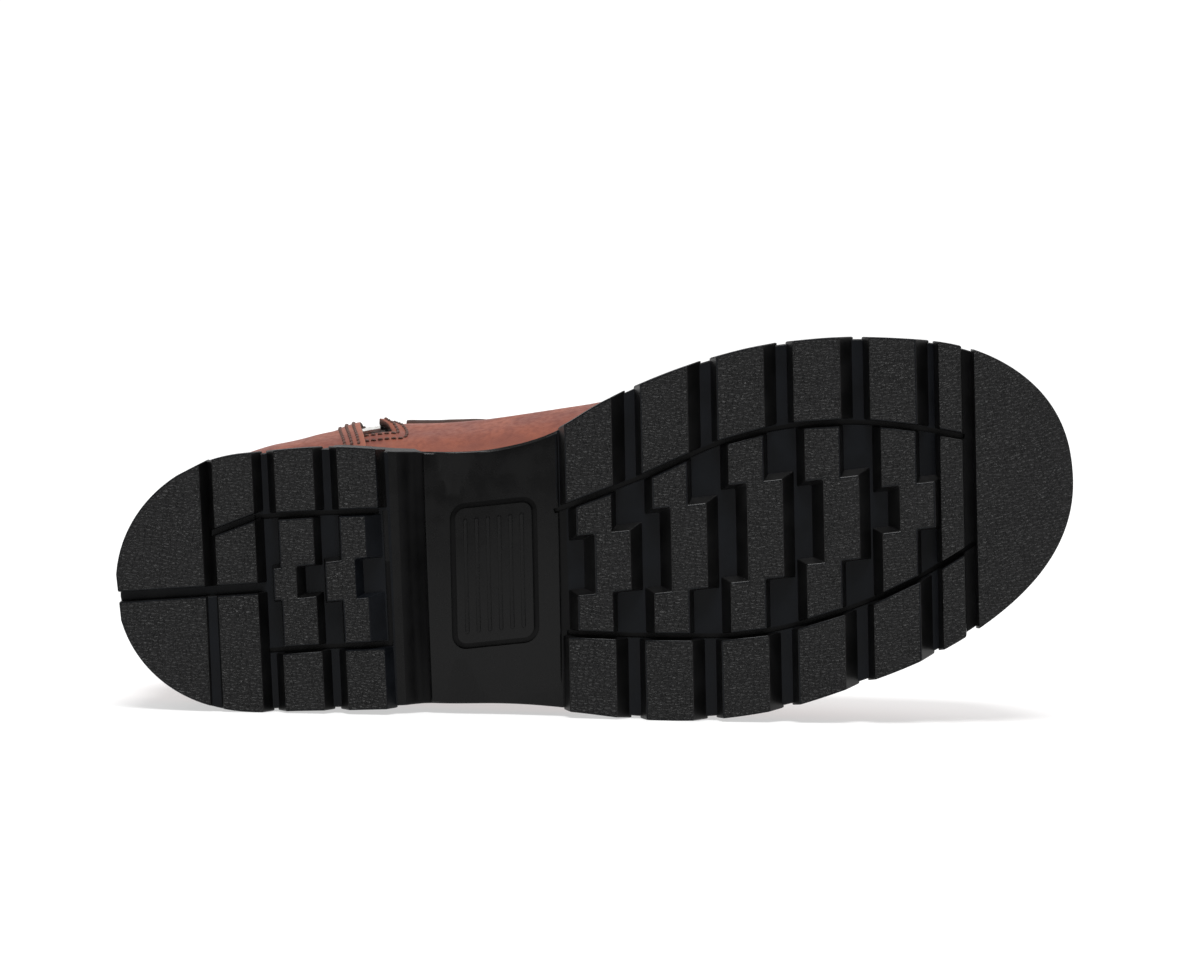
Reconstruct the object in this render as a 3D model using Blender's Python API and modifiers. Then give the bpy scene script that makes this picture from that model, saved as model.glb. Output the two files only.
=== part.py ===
"""Left side-zip work boot, lying on its outer side with the sole upright.

Boot frame: x runs from the back of the heel to the toe, y to the outer (lateral) side and
z up from the ground under the sole. Sizes are in millimetres and become metres in new_mesh.
The whole boot hangs on one empty that lays it on its side.
"""

import math

import bmesh
import bpy
import numpy as np
from mathutils import Matrix, Vector

MM = 0.001
GAP = 0.3
OVERLAY_GAP = 0.55

# Outsole
LENGTH = 307.4
HEEL_CAP = 45.0
TOE_CAP = 100.0
HEEL_ROUND = 2.05
TOE_ROUND = 2.2
SOLE_OUTLINE = (
    # x, centre (outer side positive), half width before the ends are rounded
    (0, 0.0, 41.2),
    (45, 0.0, 41.4),
    (70, 1.1, 41.9),
    (100, 4.4, 40.4),
    (125, 6.8, 40.8),
    (142, 6.8, 44.4),
    (160, 5.2, 50.7),
    (180, 3.2, 55.3),
    (203, 0.6, 57.5),
    (230, -2.5, 56.7),
    (255, -4.6, 56.4),
    (280, -7.3, 57.0),
    (308, -9.0, 57.4),
)
SOLE_PROFILE = (
    # x, groove floor, seat of the upper
    (0, 5.9, 33.0),
    (12, 5.5, 33.0),
    (50, 5.5, 33.0),
    (86, 5.5, 31.0),
    (91, 8.4, 30.4),
    (97, 11.0, 29.5),
    (120, 10.6, 25.8),
    (142, 8.6, 22.4),
    (160, 6.6, 20.0),
    (185, 5.5, 18.0),
    (215, 5.5, 17.5),
    (245, 6.9, 18.8),
    (275, 11.4, 23.2),
    (308, 18.7, 30.7),
)
SIDE_STEPS = (
    # height below the seat, inset from the outline: the wall, a groove, the welt line
    (7.0, 1.3),
    (6.2, 2.5),
    (5.0, 2.5),
    (4.2, 1.5),
    (0.0, 2.3),
)
WALL_FOOT_INSET = 0.7
SOLE_STATIONS = 40
END_CROWDING = 0.9

# Tread
HEEL_END = 88.0
WAIST_LIFT = 2.0
FLAT_FROM = 185.0
FLAT_TO = 215.0
TOE_SPRING = 13.0
LUG_SINK = 0.6
LUG_RUN_UP = 5.0
LUG_RUN_IN = 2.2
EDGE_STEPS = 3
CROSSING_STEPS = 6
STRAIGHT_SINE = 0.15
RAIL_DRAFT = 0.4
RAIL_HALF = 1.15
FORE_SKEW = 0.086
FORE_DRAFT = 2.2
FORE_FIRST = 143.8
FORE_PITCH = 24.4
FORE_LUG = 15.0
FORE_ROWS = 5
LAST_ROW = (263.6, 271.0)
TOE_PLATE_FROM = 275.2
TOE_PLATE_STATIONS = 10
FORE_RAILS = (
    # x, medial rail, lateral rail (distance from the boot's axis)
    (140, -12.0, 26.6),
    (170, -20.2, 30.6),
    (200, -29.3, 33.0),
    (225, -31.4, 29.8),
    (250, -28.6, 22.9),
    (274, -22.0, 12.2),
)
CHEVRON_REAR = 3.3
CHEVRON_LENGTH = 11.2
CHEVRON_SHIFT = 5.8
CHEVRON_MIDDLES = (
    # medial end, lateral end of the forward middle block, heel to toe
    (-4.0, 15.0),
    (-10.0, 16.8),
    (-15.0, 16.0),
    (-13.6, 12.8),
    (-9.0, 5.6),
)
HEEL_SKEW = 0.06
HEEL_DRAFT = 1.5
HEEL_BACK_PLATE = 28.2
PLATE_LAST_STEP = 4.0
HEEL_ROWS = (
    # rear, front
    (32.4, 45.0),
    (52.2, 64.5),
    (72.2, 85.2),
)
HEEL_RAILS = (
    # x, medial rail, lateral rail
    (20, -20.6, 22.0),
    (52, -20.4, 22.3),
    (90, -18.2, 24.4),
)
HEEL_SPLIT = (
    # x, groove along the middle of the back plate
    (0, -0.2),
    (48, 1.9),
)
HEEL_DIAGONAL = (
    # x, slanted groove of the first row
    (32, -17.0),
    (46, -20.8),
)
HEEL_CHEVRONS = (
    # rear, front, middle block's rear, its front, its medial end, its lateral end
    (52.6, 63.6, 50.2, 57.5, -3.8, 6.3),
    (72.0, 80.1, 66.8, 76.3, -4.2, 8.4),
)
PANEL_CENTRE = (120.0, 5.4)
PANEL_SIZE = (24.5, 43.0)
PANEL_CORNER = 3.0
PANEL_CORNER_STEPS = 3
PANEL_RISE = 0.8

# Upper
WALL = 2.0
UPPER_RINGS = (
    # ends of each ring: back x, height over the seat, front x, height over the seat;
    # half widths at heel, waist and ball; share of the ring rounded at the back and front
    (8.0, 0.0, 298.0, 0.0, 35.0, 37.5, 51.0, 0.16, 0.34),
    (5.5, 11.0, 300.0, 11.0, 38.4, 42.0, 53.4, 0.17, 0.34),
    (4.0, 25.0, 296.5, 25.0, 39.2, 43.2, 51.8, 0.17, 0.36),
    (5.0, 39.0, 286.0, 40.5, 38.6, 42.8, 48.0, 0.19, 0.42),
    (8.0, 53.0, 258.0, 54.0, 37.4, 41.4, 43.0, 0.22, 0.50),
    (11.0, 65.0, 221.0, 66.0, 36.2, 40.0, 39.2, 0.28, 0.52),
    (13.0, 75.0, 189.0, 80.0, 35.6, 38.8, 35.8, 0.36, 0.52),
    (14.0, 85.0, 165.0, 95.5, 35.6, 38.0, 36.4, 0.46, 0.48),
    (14.0, 97.0, 149.0, 111.0, 36.4, 37.8, 37.4, 0.53, 0.42),
    (13.0, 112.0, 140.0, 125.5, 37.2, 38.0, 38.2, 0.57, 0.36),
    (12.0, 129.0, 136.0, 142.0, 37.8, 38.4, 38.6, 0.60, 0.32),
    (12.0, 145.0, 135.0, 158.0, 38.2, 38.6, 38.6, 0.60, 0.30),
)
TOP_ROW = len(UPPER_RINGS) - 1
RING_ROUND = 2.25
WIDTH_AT = (0, 0.2, 0.45, 0.7, 1)
WIDTH_SHARES = (
    # where heel, waist and ball widths hold, at the places of WIDTH_AT
    (1, 1, 0, 0, 0),
    (0, 0, 1, 0, 0),
    (0, 0, 0, 1, 1),
)
SWING_FROM = 210.0
ARCH_SHIFT = 5.0
ARCH_X = 130.0
ARCH_REACH = 45.0
ARCH_RINGS = 2.0
SHAFT_SHIFT = 1.6
ANKLE_BULGE = 4.5
ANKLE_X = 84.0
ANKLE_REACH = 20.0
ANKLE_ROW = 2.8
ANKLE_ROWS = 1.7
UPPER_ROWS = (0, 0.5, 1, 1.5, 2, 2.5, 3, 3.5, 4, 4.5, 5, 6, 7, 8, 9, 10, 11)
FRONT_COLUMNS = 14
BACK_COLUMNS = 7
NORMAL_ROW_STEP = 0.05
NORMAL_S_STEP = 0.004

# Insole and overlays
INSOLE_THICKNESS = 4.0
INSOLE_CLEAR = 1.2
INSOLE_STATIONS = 26
COUNTER_FRONT = 80.0
COUNTER_START = 0.05
COUNTER_TOP_ROW = 5.0
COUNTER_DIP = 0.9
COUNTER_DIP_POWER = 3
COUNTER_ROWS = 11
COUNTER_THICKNESS = 1.6
COLLAR_SECTION = (
    # height from the top edge, offset from the wall's outer face: a padded roll over the edge
    (-34.0, 0.5),
    (-33.0, 1.9),
    (-27.0, 4.3),
    (-17.0, 5.4),
    (-7.0, 4.9),
    (0.5, 3.3),
    (3.2, 0.5),
    (3.2, -2.4),
    (1.0, -4.6),
    (-8.0, -5.6),
    (-22.0, -5.0),
    (-33.0, -3.4),
    (-34.0, -2.6),
    (-16.0, -2.6),
    (0.4, -2.5),
    (0.4, 0.4),
    (-16.0, 0.5),
)
COLLAR_OPENING = 15.0
BISECTIONS = 30

# Side zip on the medial wall
ZIP_X_BOTTOM = 83.6
ZIP_X_TOP = 83.0
ZIP_ROW_STEP = 0.1
SLOT_WIDTH = 9.4
SLOT_ROW = 1.5
TAPE_THICKNESS = 0.7
TAPE_DEPTH = 1.9
TAPE_CLEAR = 0.6
TAPE_START = 0.06
TAPE_END = 0.02
CHAIN_WIDTH = 5.4
CHAIN_THICKNESS = 2.2
CHAIN_START = 0.03
CHAIN_END_ROW = 9.72
CHAIN_LOW = TAPE_THICKNESS - TAPE_DEPTH + GAP
CHAIN_TOP = CHAIN_LOW + CHAIN_THICKNESS
STOP_WIDTH = 6.2
STOP_ROWS = (1.58, 1.8)
SLIDER_ROW = 10.2
SLIDER_LENGTH = 12.5
SLIDER_WIDTH = 8.6
SLIDER_WAIST = 6.6
SLIDER_CORNER = 1.6
PLATE_THICKNESS = 1.3
SLIDER_TOP = CHAIN_TOP + GAP + PLATE_THICKNESS
ARCH_HALF_LENGTH = 3.9
ARCH_WIDTH = 2.2
ARCH_THICKNESS = 1.0
ARCH_INSIDE = 2.2
ARCH_CORNER = 0.9
ARCH_HOLLOW_CORNER = 0.6
ARCH_SINK = 0.5
PULL_LENGTH = 25.0
PULL_WIDTH = 6.2
PULL_TIP_WIDTH = 7.6
PULL_THICKNESS = 1.2
PULL_CORNER = 1.2
PULL_BAR = 1.3
PULL_EYE = (3.2, 5.6)
PULL_EYE_CORNER = 0.5
PULL_SLOT = (-15.0, -22.0)
PULL_AXIS = 1.1
PULL_DROOP = 3.5
CORNER_STEPS = 3

# Rest pose on the outer side: turn about the view axis and lean of the sole
LIE_ROLL = 7.25
LIE_LEAN = -0.08

MERGE_DISTANCE = 1e-6
SHARP_ANGLE = 32.0
COLOURS = {
    # base colour, roughness, metallic
    "outsole": ((0.022, 0.022, 0.024), 0.62, 0.0),
    "insole": ((0.16, 0.13, 0.10), 0.9, 0.0),
    "upper": ((0.33, 0.13, 0.095), 0.42, 0.0),
    "heel_counter": ((0.32, 0.125, 0.09), 0.42, 0.0),
    "collar": ((0.045, 0.024, 0.019), 0.55, 0.0),
    "zip_tape": ((0.05, 0.03, 0.025), 0.85, 0.0),
    "zip_chain": ((0.62, 0.61, 0.59), 0.3, 1.0),
    "zip_stop": ((0.62, 0.61, 0.59), 0.3, 1.0),
    "zip_slider": ((0.60, 0.59, 0.57), 0.28, 1.0),
    "zip_pull": ((0.60, 0.59, 0.57), 0.28, 1.0),
}


def smooth(at, knots, values):
    """Values of the smooth curve through the knots, its slopes taken from their neighbours."""
    knots = np.array(knots, float)
    values = np.array(values, float)
    slopes = np.gradient(values, knots)
    at = np.clip(at, knots[0], knots[-1])
    i = np.clip(np.searchsorted(knots, at, side="right") - 1, 0, len(knots) - 2)
    span = knots[i + 1] - knots[i]
    s = (at - knots[i]) / span
    low = (1 + 2 * s) * (1 - s) ** 2 * values[i] + s * (1 - s) ** 2 * span * slopes[i]
    high = s * s * (3 - 2 * s) * values[i + 1] - s * s * (1 - s) * span * slopes[i + 1]
    return low + high


def from_table(rows, column, at):
    """Smooth value of a table's column where its first column is at."""
    return smooth(at, [row[0] for row in rows], [row[column] for row in rows])


def rounded_end(distance, reach, power):
    """Share of the full width at a distance from a rounded end, 0 at the end and 1 past reach."""
    left = 1 - np.clip(distance / reach, 0, 1)
    return (1 - left**power) ** (1 / power)


def new_object(name, mesh, collection):
    obj = bpy.data.objects.new(name, mesh)
    collection.objects.link(obj)
    return obj


def clean(mesh):
    """Merges double points and turns the faces outwards."""
    bm = bmesh.new()
    bm.from_mesh(mesh)
    bmesh.ops.remove_doubles(bm, verts=bm.verts, dist=MERGE_DISTANCE)
    bmesh.ops.recalc_face_normals(bm, faces=bm.faces)
    bm.to_mesh(mesh)
    bm.free()
    return mesh


def new_mesh(name, points, faces):
    """Mesh from points in millimetres."""
    mesh = bpy.data.meshes.new(name)
    mesh.from_pydata([tuple(MM * value for value in point) for point in points], [], faces)
    return clean(mesh)


def paint(obj):
    """Gives a part its own material."""
    colour, roughness, metallic = COLOURS[obj.name]
    material = bpy.data.materials.new(obj.name)
    material.use_nodes = True
    shader = material.node_tree.nodes["Principled BSDF"]
    shader.inputs["Base Color"].default_value = (*colour, 1)
    shader.inputs["Roughness"].default_value = roughness
    shader.inputs["Metallic"].default_value = metallic
    obj.data.materials.append(material)
    obj.data.shade_smooth()
    obj.data.set_sharp_from_angle(angle=math.radians(SHARP_ANGLE))


def loft(rings, closed=True):
    """Points and quads of a stack of rings with the same count of points."""
    count = len(rings[0])
    points = [point for ring in rings for point in ring]
    faces = []
    for k in range(len(rings) - 1):
        for i in range(count if closed else count - 1):
            j = (i + 1) % count
            faces.append((k * count + i, k * count + j, (k + 1) * count + j, (k + 1) * count + i))
    return points, faces


def strip_cap(start, count, lead):
    """Faces straight across a ring, from its first point, or with lead 1 from its closing edge."""
    faces = []
    for k in range((count - lead) // 2):
        near = start + (count - lead - k) % count
        far = start + (count - lead - k - 1) % count
        faces.append(tuple(dict.fromkeys((start + k, start + k + 1, far, near))))
    return faces


# Outsole


def sole_half(x):
    half = from_table(SOLE_OUTLINE, 2, x)
    half = half * rounded_end(x, HEEL_CAP, HEEL_ROUND)
    return half * rounded_end(LENGTH - x, TOE_CAP, TOE_ROUND)


def sole_edge(x, side):
    """Edge of the tread, side -1 medial and +1 lateral."""
    return from_table(SOLE_OUTLINE, 1, x) + side * sole_half(x)


def seat(x):
    return from_table(SOLE_PROFILE, 2, x)


def groove_floor(x):
    return from_table(SOLE_PROFILE, 1, x)


def tread(x):
    """Height of the lug faces: flat heel, forefoot rocker, toe spring."""
    if x < HEEL_END:
        return 0.0
    if x < FLAT_FROM:
        return WAIST_LIFT * ((FLAT_FROM - x) / (FLAT_FROM - FORE_FIRST)) ** 2
    if x < FLAT_TO:
        return 0.0
    return TOE_SPRING * ((x - FLAT_TO) / (LENGTH - FLAT_TO)) ** 2


def sole_stations():
    """Places along the boot, close together at both rounded ends."""
    spread = 0.5 * (1 - np.cos(np.linspace(0, math.pi, SOLE_STATIONS)))
    even = np.linspace(0, 1, SOLE_STATIONS)
    return LENGTH * (END_CROWDING * spread + (1 - END_CROWDING) * even)


def inset(outline, amount):
    """Outline moved inwards along its own normals."""
    ring = np.array(outline, float)
    along = np.roll(ring, -1, axis=0) - np.roll(ring, 1, axis=0)
    inward = np.stack([-along[:, 1], along[:, 0]], axis=1)
    inward /= np.linalg.norm(inward, axis=1)[:, None]
    if np.sum((ring.mean(axis=0) - ring) * inward) < 0:
        inward = -inward
    return ring + amount * inward


def sole_outline():
    """Tread outline from heel to toe along the medial side and back along the lateral one."""
    places = sole_stations()
    medial = [(x, sole_edge(x, -1)) for x in places]
    lateral = [(x, sole_edge(x, 1)) for x in places[1:-1]]
    return medial + lateral[::-1]


def sole_base():
    """The moulding without its lugs: floor of the grooves, side wall with a welt line, seat."""
    outline = sole_outline()
    rings = [[(x, y, groove_floor(x)) for x, y in inset(outline, WALL_FOOT_INSET)]]
    for below, step in SIDE_STEPS:
        rings.append([(x, y, seat(x) - below) for x, y in inset(outline, step)])
    points, faces = loft(rings)
    count = len(outline)
    faces += strip_cap(0, count, 0)
    faces += strip_cap(len(points) - count, count, 0)
    return new_mesh("outsole", points, faces)


def cross(a, b):
    return a[0] * b[1] - a[1] * b[0]


def offset_edges(polygon, amounts):
    """Polygon with each edge moved outwards by its own amount, corners kept sharp."""
    ring = [np.array(point, float) for point in polygon]
    ahead = ring[1:] + ring[:1]
    area = sum(cross(point, following) for point, following in zip(ring, ahead))
    turn = 1 if area > 0 else -1
    along = [(b - a) / np.linalg.norm(b - a) for a, b in zip(ring, ahead)]
    moves = [amount * turn * np.array((d[1], -d[0])) for amount, d in zip(amounts, along)]
    moved = []
    for i, corner in enumerate(ring):
        bend = cross(along[i - 1], along[i])
        if abs(bend) < STRAIGHT_SINE:
            moved.append(corner + 0.5 * (moves[i - 1] + moves[i]))
            continue
        share = cross(along[i - 1], moves[i - 1] - moves[i]) / bend
        moved.append(corner + moves[i] + share * along[i])
    return moved


def lug(polygon, drafts, outer, strip=False):
    """Drafted block from its tread face up into the sole; its outer edges run up the side wall."""
    root = offset_edges(polygon, [0.0 if i in outer else draft for i, draft in enumerate(drafts)])
    rings = [[(x, y, tread(x)) for x, y in polygon]]
    rings.append([(x, y, groove_floor(x) + LUG_SINK) for x, y in root])
    if outer:
        run_in = [-LUG_RUN_IN if i in outer else 0.0 for i in range(len(polygon))]
        top = offset_edges(root, run_in)
        rings.append([(x, y, groove_floor(x) + LUG_RUN_UP) for x, y in top])
    points, faces = loft(rings)
    count = len(polygon)
    last = len(points) - count
    if strip:
        return points, faces + strip_cap(0, count, 1) + strip_cap(last, count, 1)
    return points, faces + [tuple(range(count)), tuple(range(last, last + count))]


def groove_line(table, column, aside=0.0):
    """Groove along the boot from a table, moved aside."""
    return lambda x: from_table(table, column, x) + aside


def level(y):
    """Line along the boot at one distance from its axis."""
    return lambda x: y


def crossing(station, skew, line):
    """Point where a slanted cut across the tread meets a line along the boot."""
    x = station
    for _ in range(CROSSING_STEPS):
        x = station - skew * line(x)
    return x, line(x)


def edge_lug(side, row, skew, rail, draft):
    """Block between a rail groove and the edge of the sole."""
    start, end = row
    polygon = [crossing(station, skew, lambda x: rail(x) + side * RAIL_HALF) for station in row]
    for station in np.linspace(end, start, EDGE_STEPS + 1):
        polygon.append(crossing(station, skew, lambda x: sole_edge(x, side)))
    drafts = [RAIL_DRAFT, draft] + [0.0] * EDGE_STEPS + [draft]
    return lug(polygon, drafts, set(range(2, 2 + EDGE_STEPS)))


def bar_lug(row, skew, low, high, draft):
    """Block across the middle of the tread between two grooves."""
    start, end = row
    corners = ((start, low), (end, low), (end, high), (start, high))
    polygon = [crossing(station, skew, line) for station, line in corners]
    return lug(polygon, [RAIL_DRAFT, draft] * 2, set())


def chevron_lug(ends, middle, breaks, rails, skew, draft):
    """Three blocks side by side, the middle one shifted along the boot."""
    rear, front = ends
    middle_rear, middle_front = middle
    low, high = rails
    near, far = (level(y) for y in breaks)
    corners = (
        (rear, low),
        (front, low),
        (front, near),
        (middle_front, near),
        (middle_front, far),
        (front, far),
        (front, high),
        (rear, high),
        (rear, far),
        (middle_rear, far),
        (middle_rear, near),
        (rear, near),
    )
    polygon = [crossing(station, skew, line) for station, line in corners]
    return lug(polygon, [RAIL_DRAFT, draft] * (len(corners) // 2), set())


def forefoot_lugs():
    rails = {-1: groove_line(FORE_RAILS, 1), 1: groove_line(FORE_RAILS, 2)}
    between = (groove_line(FORE_RAILS, 1, RAIL_HALF), groove_line(FORE_RAILS, 2, -RAIL_HALF))
    starts = [FORE_FIRST + k * FORE_PITCH for k in range(FORE_ROWS)]
    lugs = []
    for row in [(start, start + FORE_LUG) for start in starts] + [LAST_ROW]:
        for side, rail in rails.items():
            lugs.append(edge_lug(side, row, FORE_SKEW, rail, FORE_DRAFT))
    for start, breaks in zip(starts, CHEVRON_MIDDLES):
        rear = start + CHEVRON_REAR
        ends = (rear, rear + CHEVRON_LENGTH)
        middle = tuple(station + CHEVRON_SHIFT for station in ends)
        lugs.append(chevron_lug(ends, middle, breaks, between, FORE_SKEW, FORE_DRAFT))
    lugs.append(bar_lug(LAST_ROW, FORE_SKEW, *between, FORE_DRAFT))
    return lugs


def heel_lugs():
    rails = {-1: groove_line(HEEL_RAILS, 1), 1: groove_line(HEEL_RAILS, 2)}
    between = (groove_line(HEEL_RAILS, 1, RAIL_HALF), groove_line(HEEL_RAILS, 2, -RAIL_HALF))
    split = groove_line(HEEL_SPLIT, 1)
    diagonal = groove_line(HEEL_DIAGONAL, 1)
    below_diagonal = groove_line(HEEL_DIAGONAL, 1, RAIL_HALF)
    above_split = groove_line(HEEL_SPLIT, 1, -RAIL_HALF)
    first, *others = HEEL_ROWS
    lugs = [heel_plate(side, split) for side in (-1, 1)]
    lugs.append(edge_lug(1, first, HEEL_SKEW, split, HEEL_DRAFT))
    lugs.append(edge_lug(-1, first, HEEL_SKEW, diagonal, HEEL_DRAFT))
    lugs.append(bar_lug(first, HEEL_SKEW, below_diagonal, above_split, HEEL_DRAFT))
    for row in others:
        for side, rail in rails.items():
            lugs.append(edge_lug(side, row, HEEL_SKEW, rail, HEEL_DRAFT))
    for rear, front, middle_rear, middle_front, *breaks in HEEL_CHEVRONS:
        middle = (middle_rear, middle_front)
        lugs.append(chevron_lug((rear, front), middle, breaks, between, HEEL_SKEW, HEEL_DRAFT))
    return lugs


def heel_plate(side, split):
    """Half of the plate at the back of the heel, from the outline to the split."""
    stations = [x for x in sole_stations() if x < HEEL_BACK_PLATE - PLATE_LAST_STEP]
    stations.append(HEEL_BACK_PLATE - HEEL_SKEW * sole_edge(HEEL_BACK_PLATE, side))
    outer = [(x, sole_edge(x, side)) for x in stations]
    outer = [(x, y) for x, y in outer if side * (y - split(x)) > RAIL_HALF]
    polygon = list(outer)
    for x in (HEEL_BACK_PLATE, outer[0][0]):
        polygon.append((x, split(x) + side * RAIL_HALF))
    edges = len(outer) - 1
    drafts = [0.0] * edges + [HEEL_DRAFT, RAIL_DRAFT, 0.0]
    return lug(polygon, drafts, set(range(edges)) | {len(polygon) - 1})


def toe_plate():
    """Plate under the toe, from the last groove to the tip."""
    sides = []
    for side in (-1, 1):
        first, _ = crossing(TOE_PLATE_FROM, FORE_SKEW, lambda x: sole_edge(x, side))
        turns = np.linspace(0, math.pi / 2, TOE_PLATE_STATIONS)
        places = first + (LENGTH - first) * np.sin(turns)
        sides.append([(x, sole_edge(x, side)) for x in places])
    medial, lateral = sides
    polygon = medial + lateral[-2::-1]
    edges = len(polygon) - 1
    return lug(polygon, [0.0] * edges + [FORE_DRAFT], set(range(edges)), strip=True)


def waist_panel():
    """Low rounded plate on the waist, its sides slanted as the lugs are."""
    centre_x, centre_y = PANEL_CENTRE
    half_x, half_y = (size / 2 - PANEL_CORNER for size in PANEL_SIZE)
    polygon = []
    for quarter, (side_x, side_y) in enumerate(((1, 1), (-1, 1), (-1, -1), (1, -1))):
        for step in range(PANEL_CORNER_STEPS + 1):
            angle = math.pi / 2 * (quarter + step / PANEL_CORNER_STEPS)
            across = side_y * half_y + PANEL_CORNER * math.sin(angle)
            along = side_x * half_x + PANEL_CORNER * math.cos(angle)
            polygon.append((centre_x + along - FORE_SKEW * across, centre_y + across))
    rings = [[(x, y, groove_floor(x) + rise) for x, y in polygon] for rise in (-PANEL_RISE, LUG_SINK)]
    points, faces = loft(rings)
    count = len(polygon)
    return points, faces + [tuple(range(count)), tuple(range(count, 2 * count))]


def make_outsole(parts, cutters):
    obj = new_object("outsole", sole_base(), parts)
    points = []
    faces = []
    for block_points, block_faces in [*forefoot_lugs(), *heel_lugs(), toe_plate(), waist_panel()]:
        start = len(points)
        points += block_points
        faces += [tuple(start + i for i in face) for face in block_faces]
    lugs = new_object("tread_lugs", new_mesh("tread_lugs", points, faces), cutters)
    union = obj.modifiers.new("lugs", "BOOLEAN")
    union.operation = "UNION"
    union.object = lugs
    union.use_self = True
    return obj, lugs


# Upper


def ring_value(column, row):
    return smooth(row, range(len(UPPER_RINGS)), [ring[column] for ring in UPPER_RINGS])


def toe_swing(x):
    """The toe's lean to the medial side, as on the sole."""
    return np.minimum(from_table(SOLE_OUTLINE, 1, np.maximum(x, SWING_FROM)), 0.0)


def share_at(row, x):
    """Place of x between the back and the front of a ring, as the angle's share of a half turn."""
    back, front = ring_value(0, row), ring_value(2, row)
    return np.arccos(1 - 2 * np.clip((x - back) / (front - back), 0, 1)) / math.pi


def upper_point(row, s):
    """Outer face of the wall. row counts rings from the sole to the collar. s is 0 at the
    back seam, grows along the lateral side to 1 at the front, and falls along the medial one."""
    s = (s + 1) % 2 - 1
    side = np.where(s >= 0, 1.0, -1.0)
    ahead = 0.5 * (1 - np.cos(math.pi * np.abs(s)))
    back_x, back_h, front_x, front_h, *widths, back_cap, front_cap = (
        ring_value(column, row) for column in range(len(UPPER_RINGS[0]))
    )
    x = back_x + (front_x - back_x) * ahead
    height = back_h + (front_h - back_h) * ahead
    half = sum(width * smooth(ahead, WIDTH_AT, share) for width, share in zip(widths, WIDTH_SHARES))
    half = half * rounded_end(ahead, back_cap, RING_ROUND) * rounded_end(1 - ahead, front_cap, RING_ROUND)
    arch = ARCH_SHIFT * np.maximum(1 - row / ARCH_RINGS, 0) * np.exp(-(((x - ARCH_X) / ARCH_REACH) ** 2))
    shaft = SHAFT_SHIFT * np.minimum(row / TOP_ROW, 1)
    off_centre = ((x - ANKLE_X) / ANKLE_REACH) ** 2 + ((row - ANKLE_ROW) / ANKLE_ROWS) ** 2
    ankle = ANKLE_BULGE * np.exp(-off_centre) * np.minimum(side, 0)
    y = side * half + arch + shaft + ankle + toe_swing(x)
    return np.stack((x, y, seat(x) + GAP + height), axis=-1)


def upper_normal(row, s):
    """Outward direction of the wall."""
    top = np.minimum(row + NORMAL_ROW_STEP, TOP_ROW)
    bottom = np.maximum(row - NORMAL_ROW_STEP, 0)
    up = upper_point(top, s) - upper_point(bottom, s)
    around = upper_point(row, s + NORMAL_S_STEP) - upper_point(row, s - NORMAL_S_STEP)
    normal = np.cross(up, around)
    return normal / np.linalg.norm(normal, axis=-1, keepdims=True)


def wall_point(row, s, offset):
    return upper_point(row, s) + offset * upper_normal(row, s)


def zip_place(row):
    """Middle of the zip on the medial wall."""
    share = (row - SLOT_ROW) / (TOP_ROW - SLOT_ROW)
    return ZIP_X_BOTTOM + (ZIP_X_TOP - ZIP_X_BOTTOM) * share


def columns_around(row, opening):
    """Ring positions from the zip's front edge round the toe, the outer side and the back to its
    rear edge. They are spread for the slot's width, and the two ends then moved to the opening's."""
    x = zip_place(row)
    front_edge = share_at(row, x + SLOT_WIDTH / 2)
    rear_edge = share_at(row, x - SLOT_WIDTH / 2)
    forward = np.linspace(front_edge, 1, FRONT_COLUMNS)
    backward = np.linspace(1, rear_edge, FRONT_COLUMNS)[1:]
    round_back = np.linspace(rear_edge, -rear_edge, 2 * BACK_COLUMNS + 1)[1:]
    columns = [*(-forward), *backward, *round_back]
    columns[0] = -share_at(row, x + opening / 2)
    columns[-1] = -share_at(row, x - opening / 2)
    return columns


def thicken(obj, thickness, offset):
    """Gives a sheet its thickness, inwards with offset -1 and outwards with +1."""
    shell = obj.modifiers.new("thickness", "SOLIDIFY")
    shell.thickness = MM * thickness
    shell.offset = offset
    shell.use_even_offset = True


def make_upper(parts):
    rings = []
    for row in UPPER_ROWS:
        rings.append([upper_point(row, s) for s in columns_around(row, SLOT_WIDTH)])
    points, faces = loft(rings)
    count = len(rings[0])
    slot = UPPER_ROWS.index(SLOT_ROW)
    faces = [face for k, face in enumerate(faces) if k % count != count - 1 or k // count < slot]
    obj = new_object("upper", new_mesh("upper", points, faces), parts)
    thicken(obj, WALL, -1)
    return obj


def make_counter(parts):
    """Overlay round the back, its front edges at the zip and at the same place outside."""
    rings = []
    for share in np.linspace(COUNTER_START, 1, COUNTER_ROWS):
        ring = []
        for k in np.linspace(-1, 1, 2 * BACK_COLUMNS + 1):
            row = share * (COUNTER_TOP_ROW - COUNTER_DIP * abs(k) ** COUNTER_DIP_POWER)
            s = k * share_at(row, COUNTER_FRONT)
            ring.append(wall_point(row, s, OVERLAY_GAP))
        rings.append(ring)
    points, faces = loft(rings, closed=False)
    obj = new_object("heel_counter", new_mesh("heel_counter", points, faces), parts)
    thicken(obj, COUNTER_THICKNESS, 1)
    return obj


def row_at_depth(drop, s):
    """Ring position at a depth below the top edge."""
    target = upper_point(TOP_ROW, s)[2] - drop
    low = 0.0
    high = float(TOP_ROW)
    for _ in range(BISECTIONS):
        middle = (low + high) / 2
        if upper_point(middle, s)[2] < target:
            low = middle
        else:
            high = middle
    return high


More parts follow.
